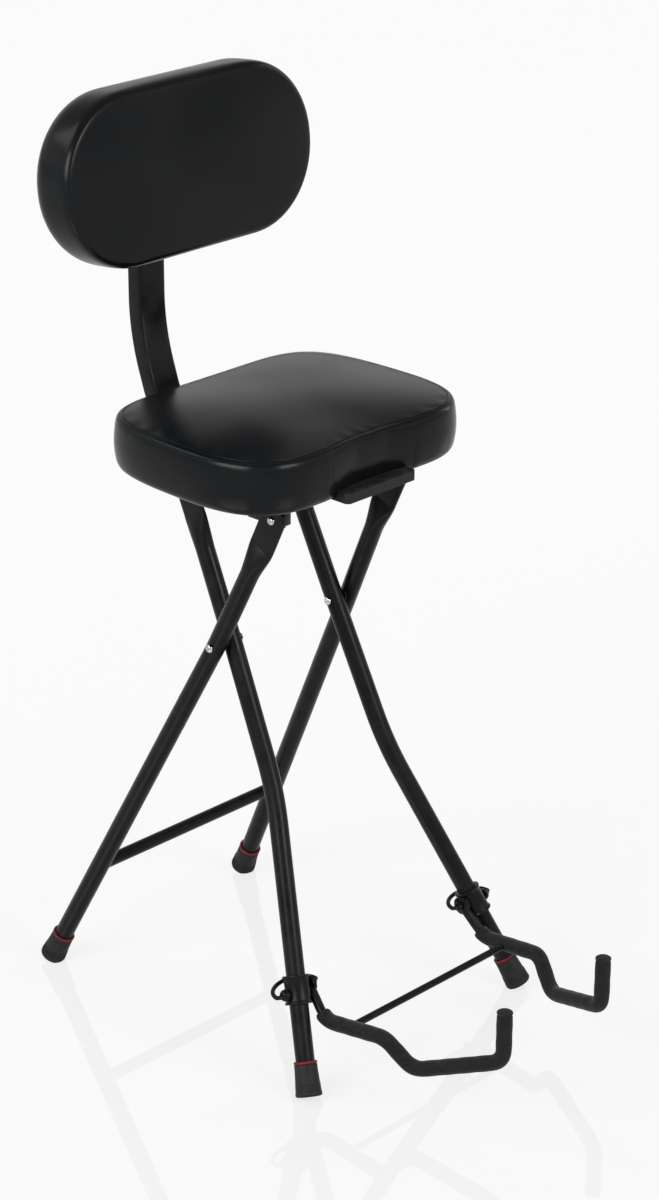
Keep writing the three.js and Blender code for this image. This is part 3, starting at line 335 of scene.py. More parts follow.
# finishes
finishes = {  # colours, roughness from glossy to dull spots, sizes of grain and ripple in cycles a metre
    "vinyl": {
        "name": "padVinyl", "dark": (0.0042, 0.0048, 0.0055), "pale": (0.0062, 0.0068, 0.0076), "rough": (0.2, 0.27),
        "grain": 620, "grainDepth": 0.00002, "ripple": 12, "rippleDepth": 0.0009, "specular": 0.12, "cells": True},
    "powder_coat": {
        "name": "powderCoat", "dark": (0.0048, 0.005, 0.0056), "pale": (0.0085, 0.0087, 0.0094), "rough": (0.24, 0.36),
        "grain": 900, "grainDepth": 0.00003, "ripple": 60, "rippleDepth": 0.00012, "specular": 0.12},
    "rubber": {
        "name": "footRubber", "dark": (0.008, 0.0083, 0.009), "pale": (0.019, 0.0195, 0.021), "rough": (0.5, 0.7),
        "grain": 1500, "grainDepth": 0.00006, "ripple": 130, "rippleDepth": 0.0002, "specular": 0.2},
    "red_band": {
        "name": "redBand", "dark": (0.11, 0.006, 0.009), "pale": (0.2, 0.014, 0.018), "rough": (0.42, 0.6),
        "grain": 1500, "grainDepth": 0.00004, "ripple": 200, "rippleDepth": 0.0001, "specular": 0.25},
    "foam": {
        "name": "gripFoam", "dark": (0.0048, 0.005, 0.0056), "pale": (0.0135, 0.014, 0.015), "rough": (0.7, 0.9),
        "grain": 1500, "grainDepth": 0.00016, "ripple": 200, "rippleDepth": 0.0003, "specular": 0.14, "cells": True,
        "sheen": 0.15},
    "nylon": {
        "name": "blackNylon", "dark": (0.006, 0.006, 0.0066), "pale": (0.0105, 0.0105, 0.0115), "rough": (0.36, 0.5),
        "grain": 1300, "grainDepth": 0.00003, "ripple": 120, "rippleDepth": 0.0001, "specular": 0.25},
    "bright_steel": {
        "name": "zincSteel", "dark": (0.36, 0.365, 0.375), "pale": (0.58, 0.585, 0.6), "rough": (0.12, 0.22),
        "grain": 1400, "grainDepth": 0.00001, "ripple": 120, "rippleDepth": 0.00002, "specular": 0.5,
        "metallic": 1.0},
}


def colourRamp(tree, share, stops, blend="LINEAR"):
    ramp = addNode(tree, "ShaderNodeValToRGB", {"Fac": share})
    ramp.color_ramp.interpolation = blend
    for element, (position, colour) in zip(ramp.color_ramp.elements, stops):
        element.position, element.color = position, (*colour, 1)
    return ramp.outputs["Color"]


def mixFinish(recipe):
    material, tree = newMaterial(recipe["name"])
    shader = tree.nodes["Principled BSDF"]
    place3d = addNode(tree, "ShaderNodeTexCoord").outputs["Object"]
    cloud = addNode(tree, "ShaderNodeTexNoise", {
        "Vector": place3d, "Scale": recipe["ripple"], "Detail": 1.5, "Roughness": 0.4}).outputs["Fac"]
    colour = colourRamp(tree, cloud, ((0.25, recipe["dark"]), (0.75, recipe["pale"])), "EASE")
    if recipe.get("cells"):
        grain = addNode(tree, "ShaderNodeTexVoronoi", {
            "Vector": place3d, "Scale": recipe["grain"], "Smoothness": 0.6}, feature="SMOOTH_F1").outputs["Distance"]
    else:
        grain = addNode(tree, "ShaderNodeTexNoise", {
            "Vector": place3d, "Scale": recipe["grain"], "Detail": 3.0}).outputs["Fac"]
    wide = flow(tree, "ShaderNodeBump", {"Strength": 0.4, "Distance": recipe["rippleDepth"], "Height": cloud})
    fine = flow(tree, "ShaderNodeBump", {
        "Strength": 0.5, "Distance": recipe["grainDepth"], "Height": grain, "Normal": wide})
    tree.links.new(colour, shader.inputs["Base Color"])
    tree.links.new(eased(tree, cloud, (0.2, 0.8), recipe["rough"]), shader.inputs["Roughness"])
    tree.links.new(fine, shader.inputs["Normal"])
    shader.inputs["Specular IOR Level"].default_value = recipe["specular"]
    shader.inputs["Sheen Weight"].default_value = recipe.get("sheen", 0)
    shader.inputs["Metallic"].default_value = recipe.get("metallic", 0)
    return material


def stainedPly():
    material, tree = newMaterial("stainedPly")
    shader = tree.nodes["Principled BSDF"]
    place3d = addNode(tree, "ShaderNodeTexCoord").outputs["Object"]
    stretched = flow(tree, "ShaderNodeMapping", {"Vector": place3d, "Scale": (60, 4, 60)})
    grain = addNode(tree, "ShaderNodeTexNoise", {
        "Vector": stretched, "Scale": 3.0, "Detail": 6.0, "Distortion": 0.6}).outputs["Fac"]
    colour = colourRamp(tree, grain, ((0.35, (0.012, 0.0095, 0.008)), (0.7, (0.034, 0.027, 0.022))))
    bump = flow(tree, "ShaderNodeBump", {"Strength": 0.4, "Distance": 0.0003, "Height": grain})
    tree.links.new(colour, shader.inputs["Base Color"])
    tree.links.new(bump, shader.inputs["Normal"])
    shader.inputs["Roughness"].default_value = 0.72
    shader.inputs["Specular IOR Level"].default_value = 0.3
    return material


bySlot = {slot: mixFinish(recipe) for slot, recipe in finishes.items()}
bySlot["board"] = stainedPly()
print("finishes mixed")


def fit(obj, body, slot, *nodes):
    obj.data.materials.clear()
    obj.data.materials.append(bySlot[slot])
    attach(obj, body)
    if nodes:
        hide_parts(*nodes)
    return obj


def finishNodes(slot, *nodes):
    for node in nodes:
        for holder in bpy.data.objects[node].material_slots:
            holder.material = bySlot[slot]


def fitPair(obj, bodies, slot, *stems):
    stem = obj.name.removesuffix("_left")
    twin = mirrorCopy(obj, stem + "_right")
    left, right = bodies if isinstance(bodies, tuple) else (bodies, bodies)
    fit(obj, left, slot, *[s + "_left" for s in stems])
    fit(twin, right, slot, *[s + "_right" for s in stems])
    return obj, twin


# node trees for what repeats or follows a path
def newTree(name, **sizes):
    tree = bpy.data.node_groups.new(name, "GeometryNodeTree")
    for way in ("INPUT", "OUTPUT"):
        tree.interface.new_socket("Geometry", in_out=way, socket_type="NodeSocketGeometry")
    for size, kind in sizes.items():
        tree.interface.new_socket(size, in_out="INPUT", socket_type="NodeSocket" + kind)
    return tree, addNode(tree, "NodeGroupInput").outputs


def endTree(tree, geometry):
    addNode(tree, "NodeGroupOutput", {0: flow(tree, "GeometryNodeRealizeInstances", {"Geometry": geometry})})
    return tree


def skinned(tree, path, sides, radius, capped):
    ring = flow(tree, "GeometryNodeCurvePrimitiveCircle", {"Resolution": sides, "Radius": radius})
    return flow(tree, "GeometryNodeCurveToMesh", {"Curve": path, "Profile Curve": ring, "Fill Caps": capped})


def laidOnMarks(tree, marks, piece, **more):
    points = flow(tree, "GeometryNodeMeshToPoints", {"Mesh": marks})
    turn = flow(tree, "GeometryNodeInputNamedAttribute", {"Name": "turn"}, data_type="FLOAT_VECTOR")
    rotation = flow(tree, "FunctionNodeEulerToRotation", {0: turn})
    return flow(tree, "GeometryNodeInstanceOnPoints", {
        "Points": points, "Instance": piece, "Rotation": rotation, **more})


def tubeTree():
    tree, given = newTree("tubeOnPath", Radius="Float", Sides="Int")
    path = flow(tree, "GeometryNodeMeshToCurve", {"Mesh": given["Geometry"]})
    return endTree(tree, skinned(tree, path, given["Sides"], given["Radius"], True))


def stitchTree():
    tree, given = newTree("stitchesOnPath", Pitch="Float", Length="Float", Thickness="Float")
    path = flow(tree, "GeometryNodeMeshToCurve", {"Mesh": given["Geometry"]})
    marks = flow(tree, "GeometryNodeResampleCurve", {"Curve": path, "Length": given["Pitch"]}, mode="LENGTH")
    reach = flow(tree, "ShaderNodeCombineXYZ", {"X": given["Length"]})
    stitch = skinned(tree, flow(tree, "GeometryNodeCurvePrimitiveLine", {"End": reach}), 6, given["Thickness"], True)
    tangent = flow(tree, "GeometryNodeInputTangent")
    turn = flow(tree, "FunctionNodeAlignRotationToVector", {"Vector": tangent}, axis="X")
    return endTree(tree, flow(tree, "GeometryNodeInstanceOnPoints", {
        "Points": marks, "Instance": stitch, "Rotation": turn}))


def ribTree():
    tree, given = newTree("ribsOnAxis", Thickness="Float", Sides="Int")
    circle = flow(tree, "GeometryNodeCurvePrimitiveCircle", {"Resolution": given["Sides"], "Radius": 1.0})
    radius = flow(tree, "GeometryNodeInputNamedAttribute", {"Name": "ringRadius"}, data_type="FLOAT")
    laid = laidOnMarks(tree, given["Geometry"], circle, Scale=radius)
    circles = flow(tree, "GeometryNodeRealizeInstances", {"Geometry": laid})
    return endTree(tree, skinned(tree, circles, 8, given["Thickness"], False))


def fastenerTree():
    tree, given = newTree("fastenersOnPoints", Head="Object")
    head = addNode(tree, "GeometryNodeObjectInfo", {"Object": given["Head"]}).outputs["Geometry"]
    return endTree(tree, laidOnMarks(tree, given["Geometry"], head))


trees = {"tube": tubeTree(), "stitch": stitchTree(), "rib": ribTree(), "fastener": fastenerTree()}


def grow(obj, tree, **sizes):
    modifier = obj.modifiers.new(tree, "NODES")
    modifier.node_group = trees[tree]
    for item in trees[tree].interface.items_tree:
        if item.in_out == "INPUT" and item.name in sizes:
            modifier[item.identifier] = sizes[item.name]
    return shadeSmooth(settle(obj))


def tubeOn(name, points, radius, sides):
    path = meshObject(name, points, [], [(k, k + 1) for k in range(len(points) - 1)])
    return grow(path, "tube", Radius=radius * 0.001, Sides=sides)


def markedPoints(name, marks):
    obj = meshObject(name, [m["at"] for m in marks], [])
    obj.data.attributes.new("turn", "FLOAT_VECTOR", "POINT")
    obj.data.attributes.new("ringRadius", "FLOAT", "POINT")
    turn, radius = obj.data.attributes["turn"], obj.data.attributes["ringRadius"]
    for k, mark in enumerate(marks):
        turn.data[k].vector = mark["along"].to_track_quat("Z", "Y").to_euler()
        radius.data[k].value = mark.get("radius", 0) * 0.001
    return obj


def fastenersOn(name, head, marks):
    return grow(markedPoints(name, marks), "fastener", Head=head)


def headObject(profile, steps=32):
    rings = [[Vector((math.cos(t) * max(r, 1e-4), math.sin(t) * max(r, 1e-4), h)) for t in
              (2 * math.pi * i / steps for i in range(steps))] for r, h in profile]
    points, faces = loft(rings)
    mesh = bpy.data.meshes.new("fastenerHead")
    mesh.from_pydata([p * 0.001 for p in points], [], faces)
    weld(mesh)
    return shadeSmooth(linked("fastenerHead", mesh))


# legs
legs = {
    "tubeRadius": 10, "flatLength": 38, "flatFade": 38, "flatThickness": 5, "flatWidth": 31, "tip": 15, "sides": 40,
    "creaseRise": 2, "creaseSwell": 2.4,
    "flatBend": 14, "straightBend": 6, "footCover": 6, "washer": 1.2, "washerRadius": 6.5, "rivetPlay": 0.6,
    "tipMarks": (0, 0.5, 1.2, 2.2, 3.6, 5.4, 7.5, 10), "tipShare": 0.45, "fineStep": 1.64, "fineCount": 50,
    "coarseStart": 92, "coarseCount": 150,
    "topZ": 577, "pivotZ": 421, "soleZ": -3.2,
    "rear": {"topX": 90, "topY": -72, "slopeY": -78, "pivotX": 99.2, "footX": 149},
    "front": {"topX": 73, "topY": 73, "slopeY": 73, "footX": 165, "kneeX": 84, "kneeZ": 272, "kneeReach": 36},
}


def legPoint(leg, x, z):
    return Vector((x, (z - legs["pivotZ"]) * leg["slopeY"] / (legs["topZ"] - legs["pivotZ"]), z))


def legLine(leg, pivot, later, reaches):
    top = Vector((leg["topX"], leg["topY"], legs["topZ"]))
    slope = Vector((0, top.y - pivot.y, top.z - pivot.z)).normalized()
    flatEnd, tip = top - slope * legs["flatLength"], top + slope * legs["tip"]
    up = (([pivot] + later)[len(later) - 1] - later[-1]).normalized()
    corners = [tip, flatEnd, pivot] + later[:-1] + [later[-1] + up * legs["footCover"]]
    return {"line": roundedLine(corners, reaches, 10), "foot": later[-1], "up": up}


def splayOf(x1, z1, x2, z2):
    return abs(x1 - x2) / abs(z1 - z2)


rear, front = legs["rear"], legs["front"]
rearSplay = splayOf(rear["pivotX"], legs["pivotZ"], rear["topX"], legs["topZ"])
frontSplay = splayOf(front["kneeX"], front["kneeZ"], front["topX"], legs["topZ"])
scissorSpacing = (legs["tubeRadius"] * 2 + legs["washer"] + legs["washerRadius"] * (rearSplay + frontSplay)
                  + legs["rivetPlay"])
rearPivot = Vector((rear["pivotX"], 0, legs["pivotZ"]))
frontPivot = Vector((rear["pivotX"] - scissorSpacing, 0, legs["pivotZ"]))
rearFloor = legPoint(rear, rear["footX"], legs["soleZ"])
frontKnee = legPoint(front, front["kneeX"], front["kneeZ"])
frontFloor = legPoint(front, front["footX"], legs["soleZ"])
rearLeg = legLine(rear, rearPivot, [rearFloor], [legs["flatBend"], legs["straightBend"]])
frontLeg = legLine(front, frontPivot, [frontKnee, frontFloor],
                   [legs["flatBend"], legs["straightBend"], front["kneeReach"]])


def legRing(placeFrame, along):
    at, tangent, side, up = placeFrame
    crease = legs["flatLength"] + legs["tip"] - legs["creaseRise"]
    share = min(max((along - crease) / legs["flatFade"], 0), 1)
    swell = 1 - (1 - share) ** legs["creaseSwell"]
    wide = lerp(legs["flatWidth"] / 2, legs["tubeRadius"], lerp(share, smoothstep(share, 0, 1), 0.4))
    thick = lerp(legs["flatThickness"] / 2, legs["tubeRadius"], swell)
    square = lerp(0.3, 1, swell)
    ring = []
    for i in range(legs["sides"]):
        t = 2 * math.pi * (i + 0.5) / legs["sides"]
        c, s = math.cos(t), math.sin(t)
        ring.append(at + side * math.copysign(abs(c) ** square * thick, c) + up * (s * wide))
    tipRound = legs["tipMarks"][-1]
    if along < tipRound:
        share = lerp(legs["tipShare"], 1, math.sqrt(max(1 - (1 - along / tipRound) ** 2, 0)))
        ring = [p - up * (p - at).dot(up) * (1 - share) for p in ring]
    return ring


def makeLeg(name, leg):
    total = lineLength(leg["line"])
    marks = list(legs["tipMarks"])
    marks += [legs["tipMarks"][-1] + legs["fineStep"] * k for k in range(1, legs["fineCount"] + 1)]
    marks += [lerp(legs["coarseStart"], total, k / legs["coarseCount"]) for k in range(1, legs["coarseCount"] + 1)]
    frames = framesAlong([pointAlong(leg["line"], m) for m in marks], sideways)
    obj = meshObject(name, *loft([legRing(f, m) for f, m in zip(frames, marks)]))
    return shadeSmooth(obj, 50)


fitPair(makeLeg("rear_leg_tube_left", rearLeg), "rear_legs", "powder_coat", "rear_leg")
fitPair(makeLeg("front_leg_tube_left", frontLeg), "front_legs", "powder_coat", "front_leg")
print("legs bent")

# cross members
bars = {"crossbarZ": 127, "crossbarRadius": 7, "crossbarSink": 0.55, "rodRadius": 5, "rodEnd": 3.5}


def onLine(top, foot, z):
    return top.lerp(foot, (top.z - z) / (top.z - foot.z))


def mirrorOf(point):
    return Vector((-point.x, point.y, point.z))


barEnd = onLine(rearPivot, rearFloor, bars["crossbarZ"])
barEnd.x -= legs["tubeRadius"] * bars["crossbarSink"]
fit(tubeOn("crossbar_tube", [mirrorOf(barEnd), barEnd], bars["crossbarRadius"], 40),
    "rear_legs", "powder_coat", "rear_crossbar")


def hookRodProfile():
    shoulder = front["topX"] - legs["flatThickness"] / 2 - gap
    end = front["topX"] + legs["flatThickness"] / 2 + gap
    wide, thin = bars["rodRadius"], bars["rodEnd"]
    half = [(wide, shoulder), (thin, shoulder), (thin, end), (wide + 0.6, end), (wide + 0.4, end + 0.9),
            (wide - 0.8, end + 1.7), (wide - 2.8, end + 2.1), (0, end + 2.15)]
    return [(r, -x) for r, x in reversed(half)] + half


hookRod = lathe("hook_rod_bar", hookRodProfile(), Vector((0, front["topY"], legs["topZ"])), sideways, 40)
fit(hookRod, "front_legs", "powder_coat", "hook_rod")

# rubber feet
feet = {"length": 33.5, "topRadius": 12, "soleRadius": 14, "worn": 1.2, "ribs": 6, "ribPitch": 1.75, "ribStart": 4.2,
        "ribRadius": 0.42, "ringHeight": 2.6, "ringLip": 0.35, "bore": 10.45}


def soleDrop(leg):
    return math.sqrt(1 - leg["up"].z ** 2) * feet["soleRadius"]


floorZ = legs["soleZ"] - min(soleDrop(rearLeg), soleDrop(frontLeg)) + feet["worn"] * 2


def makeFoot(stem, leg, body):
    length, top, sole, bore = feet["length"], feet["topRadius"], feet["soleRadius"], feet["bore"]

    def radiusAt(height):
        return lerp(sole, top, height / length) - 0.25

    profile = [(0, 0), (sole - 2.2, 0), (sole - 1.1, 0.25), (sole - 0.35, 0.9), (sole, 2.1), (sole, 4.2)]
    profile += [(radiusAt(h), h) for h in (5, 9, 14, 19, 23, 26)]
    profile += [(top + 0.15, 27.5), (top + 0.1, length - 1), (top - 0.35, length - 0.15), (top - 1, length),
                (bore, length), (bore, length - 4), (0, length - 4)]
    foot = lathe(stem + "_boot_left", profile, leg["foot"], leg["up"], 56)
    lowest = place((0, 0, floorZ)).z
    for vertex in foot.data.vertices:
        vertex.co.z = max(vertex.co.z, lowest)
    fitPair(foot, body, "rubber", stem)
    marks = [{"at": leg["foot"] + leg["up"] * (feet["ribStart"] + feet["ribPitch"] * k), "along": leg["up"],
              "radius": radiusAt(feet["ribStart"] + feet["ribPitch"] * k)} for k in range(feet["ribs"])]
    ribs = grow(markedPoints(stem + "_ribs_left", marks), "rib", Thickness=feet["ribRadius"] * 0.001, Sides=56)
    fitPair(ribs, body, "rubber")
    low, lip = length + 0.2, top + feet["ringLip"]
    band = [(bore, low), (lip - 0.5, low), (lip, low + 0.5), (lip, low + feet["ringHeight"] - 0.6),
            (lip - 0.6, low + feet["ringHeight"]), (bore, low + feet["ringHeight"]), (bore, low)]
    fitPair(lathe(stem + "_band_left", band, leg["foot"], leg["up"], 56), body, "red_band", stem + "_ring")


makeFoot("rear_foot", rearLeg, "rear_legs")
makeFoot("front_foot", frontLeg, "front_legs")
print("feet moulded")

# rivets, screws and bolts
rivets = {"headRadius": 4.6, "headHeight": 2.6, "screwHead": 4.2, "screwHeight": 2,
          "boltHead": 6.5, "boltHeight": 3.4}


def domeProfile(radius, height):
    return [(radius * 0.6, -0.6), (radius, 0), (radius * 0.985, height * 0.2), (radius * 0.92, height * 0.42),
            (radius * 0.8, height * 0.64), (radius * 0.62, height * 0.82), (radius * 0.38, height * 0.95), (0, height)]


def boxMiddle(node):
    low, high = (Vector(corner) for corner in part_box(node))
    return ((low + high) / 2 - drawingShift) * 1000, (high - low) * 1000


def rivetHeads(name, body, nodes, head):
    marks = []
    for node in nodes:
        middle, size = boxMiddle(node)
        for sign in (-1, 1):
            face = middle + sideways * sign * (size.x / 2 - rivets["headHeight"])
            marks.append({"at": face, "along": sideways * sign})
    fit(fastenersOn(name, head, marks), body, "bright_steel", *nodes)


def crossHead(radius, height):
    head = headObject([(radius * 0.6, -0.4), (radius, 0), (radius, height * 0.45), (radius * 0.9, height * 0.75),
                       (radius * 0.66, height), (0.05, height)], 32)
    shell = bmesh.new()
    shell.from_mesh(head.data)
    ends = [f for f in shell.faces if len(f.verts) > 4]
    bmesh.ops.inset_region(shell, faces=ends, thickness=radius * 0.0003)
    for face in ends:
        for vertex in face.verts:
            vertex.co.z -= height * 0.00035
    shell.to_mesh(head.data)
    shell.free()
    return shadeSmooth(head)


def hexHead(radius, height):
    return headObject([(radius * 0.4, -0.3), (radius, 0), (radius, height * 0.7), (radius * 0.9, height),
                       (radius * 0.3, height)], 6)


dome = headObject(domeProfile(rivets["headRadius"], rivets["headHeight"]))
rivetHeads("scissor_rivet_heads", "rear_legs", ["scissor_rivet_left", "scissor_rivet_right"], dome)
rivetHeads("seat_rivet_heads", "seat", ["seat_pivot_rivet_left", "seat_pivot_rivet_right"], dome)
bpy.data.objects.remove(dome)

screwNodes = [f"{end}_bracket_screw_{k}_{side}"
              for end in ("front", "rear") for k in (1, 2) for side in ("left", "right")]
screwHead = crossHead(rivets["screwHead"], rivets["screwHeight"])


def lowFace(node, height):
    middle, size = boxMiddle(node)
    return {"at": Vector((middle.x, middle.y, middle.z - size.z / 2 + height)), "along": -upwards}


fit(fastenersOn("bracket_screws", screwHead, [lowFace(n, rivets["screwHeight"]) for n in screwNodes]),
    "seat", "bright_steel", *screwNodes)
backScrewNodes = ["backrest_screw_1", "backrest_screw_2"]
hexes = hexHead(rivets["boltHead"], rivets["boltHeight"])
boltNodes = ["post_bolt_1", "post_bolt_2"]
fit(fastenersOn("post_bolt_heads", hexes, [lowFace(n, rivets["boltHeight"]) for n in boltNodes]),
    "seat", "bright_steel", *boltNodes)
bpy.data.objects.remove(hexes)
print("fasteners set")

# brackets under the seat
for stem in ("front_bracket", "rear_bracket"):
    fitPair(smoothCopy(stem + "_left", stem + "_plate_left", 0.7), "seat", "powder_coat", stem)

# seat
seat = {
    "baseZ": 603, "seamZ": 659, "crown": 12.5, "halfWidth": 167, "frontY": -127, "backY": 123, "frontFlat": 84,
    "widestY": -28, "backFlat": 70, "frontFullness": (0.66, 0.3), "backFullness": (0.8, 0.84), "centre": (0, -6),
    "notchHalfWidth": 61, "notchStep": 1.3, "notchDepth": 6, "notchBlend": 3, "notchFlat": 18, "notchReach": 40,
    "boardInset": 14, "boardThickness": 12, "cells": 60, "bulge": 1.5, "sideBulge": 1.5, "edge": 7, "seamInset": 6,
    "crownShare": 0.72, "crownPower": 2.6, "pressure": 4.0, "cap": 4.5, "frames": 20, "grooveDepth": 0.7,
    "puckers": 38, "puckerDepth": 0.35, "puckerReach": 16, "cornerSeam": 0.55, "cornerSteps": 24,
}


def bezier(a, b, c, d, t):
    return tuple((1 - t) ** 3 * p + 3 * t * (1 - t) ** 2 * q + 3 * t * t * (1 - t) * r + t ** 3 * s
                 for p, q, r, s in zip(a, b, c, d))


def seatOutline():
    s = seat
    w, f, m, b = s["halfWidth"], s["frontY"], s["widestY"], s["backY"]
    ff, bf = s["frontFullness"], s["backFullness"]
    frontCurve = (s["frontFlat"], f), (lerp(s["frontFlat"], w, ff[0]), f), (w, lerp(f, m, ff[1])), (w, m)
    backCurve = (w, m), (w, lerp(m, b, bf[0])), (lerp(s["backFlat"], w, bf[1]), b), (s["backFlat"], b)
    half = [(x, f) for x in range(0, s["frontFlat"], 3)]
    half += [bezier(*curve, k / 60) for curve in (frontCurve, backCurve) for k in range(60)]
    half += [(x, b) for x in range(s["backFlat"], -1, -5)]
    return half + [(-x, y) for x, y in reversed(half[1:-1])]


class Outline:
    def __init__(self, points, centre):
        self.centre = centre
        cx, cy = centre
        around = sorted((math.atan2(y - cy, x - cx), x, y) for x, y in points)
        self.marks = [(a - 2 * math.pi, x, y) for a, x, y in around[-3:]] + around + [
            (a + 2 * math.pi, x, y) for a, x, y in around[:3]]

    def at(self, angle):
        angle = math.atan2(math.sin(angle), math.cos(angle))
        low, high = 0, len(self.marks) - 1
        while high - low > 1:
            middle = (low + high) // 2
            low, high = (middle, high) if self.marks[middle][0] <= angle else (low, middle)
        a, b = self.marks[low], self.marks[high]
        t = (angle - a[0]) / max(b[0] - a[0], 1e-9)
        return lerp(a[1], b[1], t), lerp(a[2], b[2], t)

    def inset(self, angle, distance):
        x, y = self.at(angle)
        ax, ay = self.at(angle - 0.02)
        bx, by = self.at(angle + 0.02)
        tx, ty = bx - ax, by - ay
        size = math.hypot(tx, ty)
        return x - ty / size * distance, y + tx / size * distance


def padGrid(cells):
    grid = {}
    for i in range(cells + 1):
        for j in range(cells + 1):
            u, v = 2 * i / cells - 1, 2 * j / cells - 1
            x, y = u * math.sqrt(1 - v * v / 2), v * math.sqrt(1 - u * u / 2)
            grid[i, j] = (min(math.hypot(x, y), 1), math.atan2(y, x))
    border = [(i, 0) for i in range(cells)] + [(cells, j) for j in range(cells)]
    border += [(i, cells) for i in range(cells, 0, -1)] + [(0, j) for j in range(cells, 0, -1)]
    return grid, border


def padShell(outline, cells, rings, panelInset, panelHeight, place3d, dip):
    grid, border = padGrid(cells)
    points, indexOf = [], {}
    for key, (share, angle) in grid.items():
        x, y = outline.inset(angle, panelInset)
        y += dip(x, y, 1.0)
        px, py = lerp(outline.centre[0], x, share), lerp(outline.centre[1], y, share)
        indexOf[key] = len(points)
        points.append(place3d(px, py, panelHeight(share)))
    faces = [(indexOf[i, j], indexOf[i + 1, j], indexOf[i + 1, j + 1], indexOf[i, j + 1])
             for i in range(cells) for j in range(cells)]
    loops = [[indexOf[key] for key in border]]
    for inset, height, dipShare in rings:
        previous, loop = loops[-1], []
        for key in border:
            x, y = outline.inset(grid[key][1], inset)
            loop.append(len(points))
            points.append(place3d(x, y + dip(x, y, dipShare), height))
        for k, index in enumerate(loop):
            j = (k + 1) % len(loop)
            faces.append((previous[k], index, loop[j], previous[j]))
        loops.append(loop)
    centre, last = len(points), loops[-1]
    points.append(place3d(*outline.centre, rings[-1][1]))
    faces += [(index, centre, last[(k + 1) % len(last)]) for k, index in enumerate(last)]
    return points, faces, loops


def puff(obj, held, recipe):
    group = obj.vertex_groups.new(name="held")
    for index, weight in held.items():
        group.add([index], weight, "REPLACE")
    before = [v.co.copy() for v in obj.data.vertices]
    cloth = obj.modifiers.new("puff", "CLOTH")
    settings = cloth.settings
    settings.quality = 6
    settings.mass = 0.3
    settings.tension_stiffness = settings.compression_stiffness = 22
    settings.shear_stiffness = 8
    settings.bending_stiffness = 1.2
    settings.use_pressure = True
    settings.uniform_pressure_force = recipe["pressure"]
    settings.vertex_group_mass = "held"
    settings.effector_weights.gravity = 0
    cloth.collision_settings.use_collision = False
    cloth.point_cache.frame_start, cloth.point_cache.frame_end = 1, recipe["frames"]
    for step in range(1, recipe["frames"] + 1):
        scene.frame_set(step)
    settle(obj)
    scene.frame_set(1)
    cap = recipe["cap"] * 0.001
    for vertex, old in zip(obj.data.vertices, before):
        move = vertex.co - old
        if move.length > cap:
            vertex.co = old + move.normalized() * cap
    obj.vertex_groups.clear()


def relax(mesh, rounds, share, fixed):
    shell = bmesh.new()
    shell.from_mesh(mesh)
    shell.verts.ensure_lookup_table()
    for _ in range(rounds):
        fresh = {}
        for vertex in shell.verts:
            if vertex.index in fixed:
                continue
            middle = sum((e.other_vert(vertex).co for e in vertex.link_edges), Vector()) / len(vertex.link_edges)
            fresh[vertex.index] = vertex.co.lerp(middle, share)
        for index, co in fresh.items():
            shell.verts[index].co = co
    shell.to_mesh(mesh)
    shell.free()


def subdivided(obj, levels=1):
    soften = obj.modifiers.new("soften", "SUBSURF")
    soften.levels = soften.render_levels = levels
    return shadeSmooth(settle(obj), 60)


def puffedPad(name, recipe, outline, rings, crownAt, lay, heldRings, softRings=0, dip=lambda x, y, share: 0):
    points, faces, loops = padShell(outline, recipe["cells"], rings, recipe["seamInset"], crownAt, lay, dip)
    obj = meshObject(name, points, faces)
    held = {index: 0.97 for index in loops[0]}
    for loop in loops[-heldRings:]:
        held.update({index: 1.0 for index in loop})
    held[len(points) - 1] = 1.0
    for loop in loops[1:1 + softRings]:
        held.update({index: 0.9 for index in loop})
    puff(obj, held, recipe)
    relax(obj.data, 2, 0.5, set(held))
    return obj, loops[0]


seatEdge = Outline(seatOutline(), seat["centre"])


def notchDip(x, y, share):
    half, blend, step = seat["notchHalfWidth"], seat["notchBlend"], seat["notchStep"]
    if y > seat["frontY"] + seat["notchReach"]:
        return 0
    hollow = (seat["notchDepth"] - step) * smoothstep(abs(x), half, seat["notchFlat"])
    return (step * smoothstep(abs(x), half + blend, half - blend) + hollow) * share


